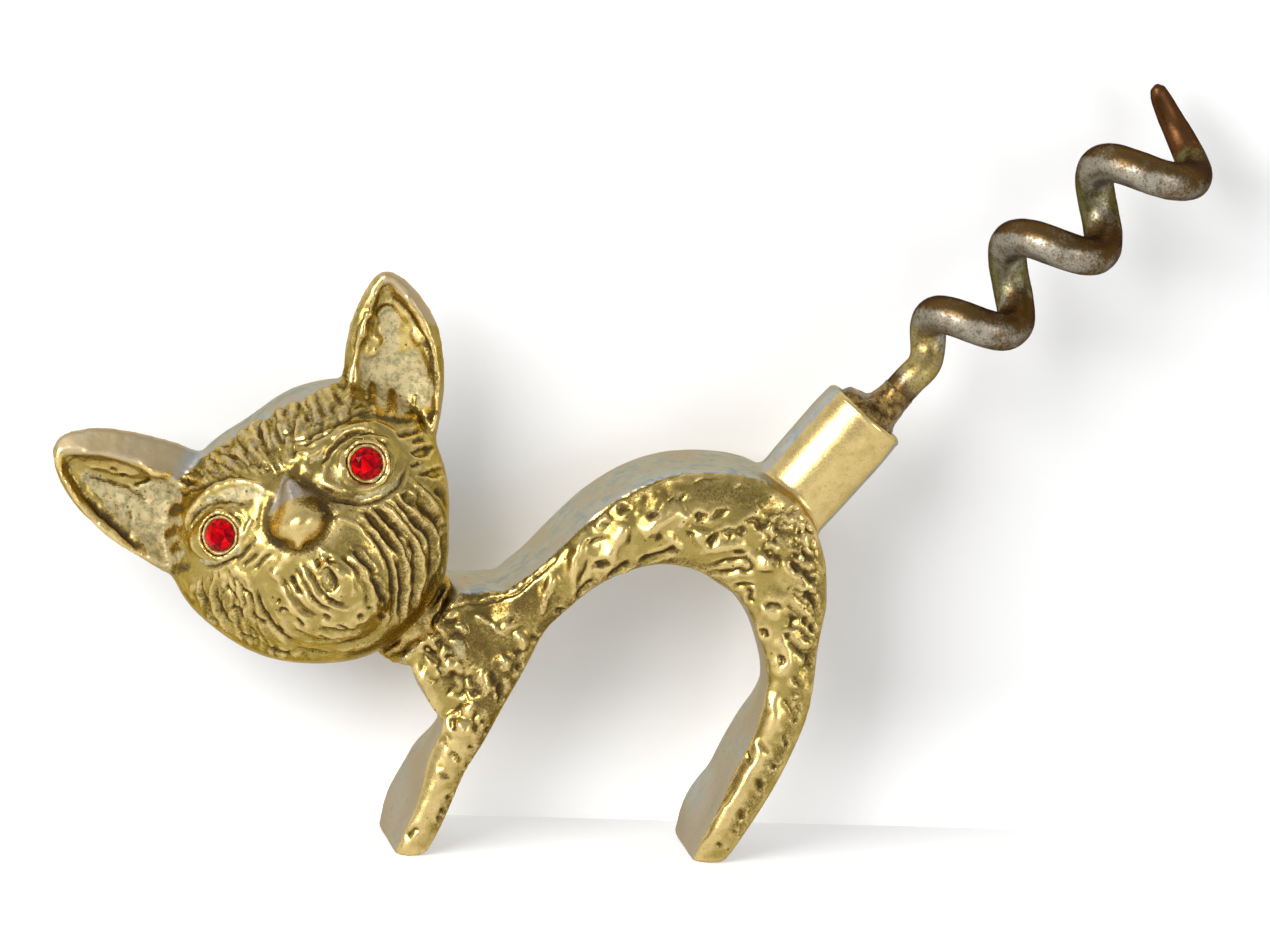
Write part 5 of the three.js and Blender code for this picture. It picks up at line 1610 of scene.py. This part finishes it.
@dataclass
class Solders:
    """The hard solder in the neck and the soft solder that climbs the shank in the tail socket."""

    neck_skin: float = 0.16
    mouth_skin: float = 0.14
    neck_waves: tuple[Triple, ...] = ((1.6, 4.0, 0.3), (0.7, 8.0, 0.14))
    mouth_waves: tuple[Triple, ...] = ((1.3, 4.0, 0.12), (0.5, 8.0, 0.05))
    climb: float = 3.1
    bore: float = 2.95
    rings: int = 14
    bead_count: int = 84
    bead_radii: tuple[float, float] = (0.5, 0.9)
    bead_spread: float = 2.4  # to both sides of the seam
    core_share: float = 0.95  # of the solder's width
    bead_share: float = 0.85

    def fillet(self, bm: BMesh, worm: Worm) -> None:
        """Adds the solder that climbs from the socket's rim to the shank.

        Args:
            bm: The solder's shape, which the fillet joins.
            worm: The worm that stands in it.
        """
        axis, low = map(Vector, slope(SOCKET_ANGLE))
        turn = Matrix((low, Vector((0.0, 1.0, 0.0)), -axis)).transposed().to_4x4()
        rings = []
        for i in range(self.rings + 1):
            share = i / self.rings
            drawn_in = 1.0 - (1.0 - share) ** 2.4
            height = self.climb * share ** 1.5 if i else -1.2
            radius = self.bore + (worm.shank_radius + 0.06 - self.bore) * drawn_in
            centre = Vector(SOCKET_MOUTH) + low * worm.shank_offset * drawn_in + axis * height
            rings.append(Matrix.Translation(centre) @ turn @ Matrix.Scale(radius, 4))
        draw_bar(bm, 48, rings)

    def beads(self, bm: BMesh) -> None:
        """Adds the beads that the braze ran into round the neck.

        Args:
            bm: The neck solder's shape, which the beads join.
        """
        points = np.array([v.co for v in bm.verts])
        centre = (points.min(0) + points.max(0)) / 2.0
        _, _, ways = np.linalg.svd(points - centre, full_matrices=False)
        wide, high, through = ways
        reach = np.abs((points - centre) @ np.array([wide, high]).T).max(0)
        across = (2.0 * self.core_share * r for r in reach)
        turned = Matrix(np.array([wide, high, through]).tolist()).transposed().to_4x4()
        core = Matrix.Translation(centre) @ turned @ Matrix.Diagonal((*across, 1.0, 1.0))
        size = {"radius1": 0.5, "radius2": 0.5, "depth": 2.0 * self.bead_spread}
        bmesh.ops.create_cone(bm, cap_ends=True, segments=64, matrix=core, **size)
        rng = np.random.default_rng(77)
        for i in range(self.bead_count):
            turn = 2.0 * math.pi * (i + rng.uniform(-0.4, 0.4)) / self.bead_count
            a, b = reach * self.bead_share
            spot = centre + wide * a * math.cos(turn) + high * b * math.sin(turn)
            spot = spot + through * rng.uniform(-self.bead_spread, self.bead_spread)
            place = Matrix.Translation(spot) @ Matrix.Diagonal((1.0, rng.uniform(0.7, 1.2), 1.0, 1.0))
            bmesh.ops.create_icosphere(bm, subdivisions=2, radius=rng.uniform(*self.bead_radii), matrix=place)

    def build(self, worm: Worm, hard: Material, soft: Material) -> None:
        """Skins both fillets and makes them lumpy.

        Args:
            worm: The worm that stands in the socket.
            hard: Finish of the neck's solder.
            soft: Finish of the socket's solder.
        """
        bm = casting_copy("neck_solder")
        self.beads(bm)
        neck = skinned("neck_braze", bm, self.neck_skin)
        work = Surface(neck.data)
        work.even(3)
        work.polish(22, SOFT)
        p = work.points
        work.push(dents(p, self.neck_waves))
        hollow = work.hollow(10)
        work.marks = {
            # A base of dirt, patina with painted shade in the braze's hollows, and dirt in patches.
            "stain": 0.3 + 0.5 * smoothstep(hollow, 0.0, 0.12) + 0.4 * grain(p, 1.1, 21.0),
            "crest": smoothstep(-hollow, 0.0, 0.07),
            "pale": 0.3 * smoothstep(grain(p, 1.0, 41.0), 0.2, 0.5),
        }
        work.write()
        set_down(neck, hard, "hard_solder", "neck_solder")
        bm = casting_copy("socket_solder")
        self.fillet(bm, worm)
        fill = skinned("socket_fill", bm, self.mouth_skin)
        work = Surface(fill.data)
        work.even(4)
        p = work.points
        work.push(dents(p, self.mouth_waves))
        work.write()
        set_down(fill, soft, "soft_solder", "socket_solder")


# Studio


@dataclass
class Studio:
    """A pale floor, soft lamps, a white room and the camera at the photograph's angle."""

    lens: float = 500.0
    sensor: float = 36.0
    frame_width: float = 108.547  # millimetres of the object across the picture
    aim: tuple[float, float] = (-0.0855, 31.709)  # middle of the picture on the maker's drawing
    floor_size: float = 3.0
    sheet_distance: float = 0.0127  # just behind the back of the head
    sheet_size: float = 0.6
    sheet_glow: float = 0.09
    sheet_foot: float = 0.014  # height up to which the sheet is brighter
    foot_glow: float = 0.4
    floor_glow: float = 0.35
    room_light: float = 0.5
    glow_in_metal: float = 0.6  # share of the floor's own light that polished metal shows
    lamps: tuple[tuple[str, Triple, float, float], ...] = (
        ("key_softbox", (-0.22, 0.13, 0.385), 0.27, 2.1),
        ("fill_softbox", (0.36, -0.02, 0.26), 0.16, 0.3),
    )

    @staticmethod
    def panel(name: str, n: Nodes, side: float, place: Matrix, glow: object, shown: object, other: object) -> None:
        """Makes a flat white sheet that gives a little light of its own.

        Args:
            name: Its name.
            n: Its material's nodes.
            side: How long its sides are, in metres.
            place: Where it lies.
            glow: How strong its light is.
            shown: Where the light shows.
            other: What shows elsewhere, the dull white where it is None.
        """
        bm = bmesh.new()
        bmesh.ops.create_grid(bm, x_segments=2, y_segments=2, size=side / 2, matrix=place)
        sheet = mesh_object(name, bm)
        shade = n.ease(n.cloud(60.0, 2.0, 0.5), 0.3, 0.7, 0.80, 0.82)
        matt = n.new("BsdfDiffuse", n.new("CombineColor", shade, shade, shade))
        lit = n.new("AddShader", matt, n.new("Emission", Strength=glow))
        sheet.data.materials.append(n.end(n.new("MixShader", shown, matt if other is None else other, lit)))

    def backdrop(self) -> None:
        """Hangs a white sheet close behind the cat, there for the camera alone and seen only from the front."""
        n = Nodes("white_sheet")
        upright = Matrix.Translation((0.0, self.sheet_distance, 0.0)) @ Matrix.Rotation(math.pi / 2, 4, "X")
        height = n.new("SeparateXYZ", n.place).outputs["Z"]
        glow = n.ease(height, 0.0, self.sheet_foot, self.foot_glow, self.sheet_glow)
        front = n.sum("SUBTRACT", 1.0, n.new("NewGeometry").outputs["Backfacing"])
        shown = n.sum("MULTIPLY", n.new("LightPath").outputs["Is Camera Ray"], front)
        self.panel("studio_backdrop", n, self.sheet_size, upright, glow, shown, n.new("BsdfTransparent"))

    def floor(self) -> None:
        """Lays the floor just under the soles."""
        n = Nodes("pale_floor")
        ray = n.new("LightPath").outputs
        glossy = n.sum("MULTIPLY", ray["Is Glossy Ray"], self.glow_in_metal)
        shown = n.sum("MAXIMUM", ray["Is Camera Ray"], n.sum("MAXIMUM", glossy, ray["Is Transmission Ray"]))
        place = Matrix.Translation((0.0, 0.0, -0.00002))
        self.panel("studio_floor", n, self.floor_size, place, self.floor_glow, shown, None)

    def room(self) -> None:
        """A white room to the camera, and a soft grey one with a darker front in the brass."""
        n = Nodes("studio_room", world=True)
        bpy.context.scene.world = n.made
        front = n.ease(n.new("SeparateXYZ", n.place).outputs["Y"], -0.25, 0.6)
        lit, white = (n.new("Background", (1.0, 1.0, 1.0, 1.0), Strength=s) for s in (self.room_light, 1.0))
        ray = n.new("LightPath").outputs
        seen = n.sum("MAXIMUM", ray["Is Camera Ray"], ray["Is Transmission Ray"])
        mirrored = n.sum("MULTIPLY", ray["Is Glossy Ray"], front)
        n.end(n.new("MixShader", n.sum("MAXIMUM", seen, mirrored), lit, white))

    def lamp(self, name: str, off: Triple, size: float, watts: float) -> None:
        """Hangs a soft square lamp that looks at the object.

        Args:
            name: The lamp's name.
            off: Its place from the object's middle, in the picture's right, up and towards the viewer, in metres.
            size: Its side in metres.
            watts: Its power.
        """
        middle = Vector((0.0, 0.0, 0.03))
        data = bpy.data.lights.new(name, "AREA")
        data.shape = "SQUARE"
        data.size = size
        data.energy = watts
        lamp = bpy.data.objects.new(name, data)
        lamp.location = middle + RIGHT * off[0] + UP * off[1] + BACK * off[2]
        lamp.rotation_euler = (lamp.location - middle).to_track_quat("Z", "Y").to_euler()
        bpy.context.scene.collection.objects.link(lamp)

    def camera(self) -> None:
        """Sets the camera at the photograph's angle."""
        data = bpy.data.cameras.new("photograph")
        data.lens, data.sensor_width = self.lens, self.sensor
        distance = self.lens / self.sensor * self.frame_width
        data.clip_start, data.clip_end = 0.05, 20.0
        camera = bpy.data.objects.new("photograph", data)
        aim = MAKERS_ZERO + RIGHT * self.aim[0] + UP * self.aim[1]
        turn = Matrix((RIGHT, UP, BACK)).transposed()
        camera.matrix_world = Matrix.Translation((aim + BACK * distance) * MM) @ turn.to_4x4()
        bpy.context.scene.collection.objects.link(camera)
        bpy.context.scene.camera = camera

    def build(self) -> None:
        """Sets up the whole studio."""
        self.backdrop()
        self.floor()
        self.room()
        for lamp in self.lamps:
            self.lamp(*lamp)
        self.camera()
        bpy.context.scene.view_settings.view_transform = "Standard"


def main() -> None:
    """Builds every piece in the order that the corkscrew is put together."""
    brass = BrassFinish().build()
    BodyCasting().build(brass)
    HeadCasting().build(brass)
    EyeStones().build(GlassFinish().build(), CementFinish().build())
    worm = Worm()
    worm.build(SteelFinish().build())
    Solders().build(
        worm,
        BrassFinish(name="neck_hard_solder", gold=(0.60, 0.44, 0.17), deep_gold=(0.38, 0.25, 0.065)).build(),
        SolderFinish("socket_soft_solder", (0.33, 0.215, 0.065), (0.085, 0.048, 0.014), 0.8, 0.26).build(),
    )
    Studio().build()


if __name__ == "__main__":
    main()
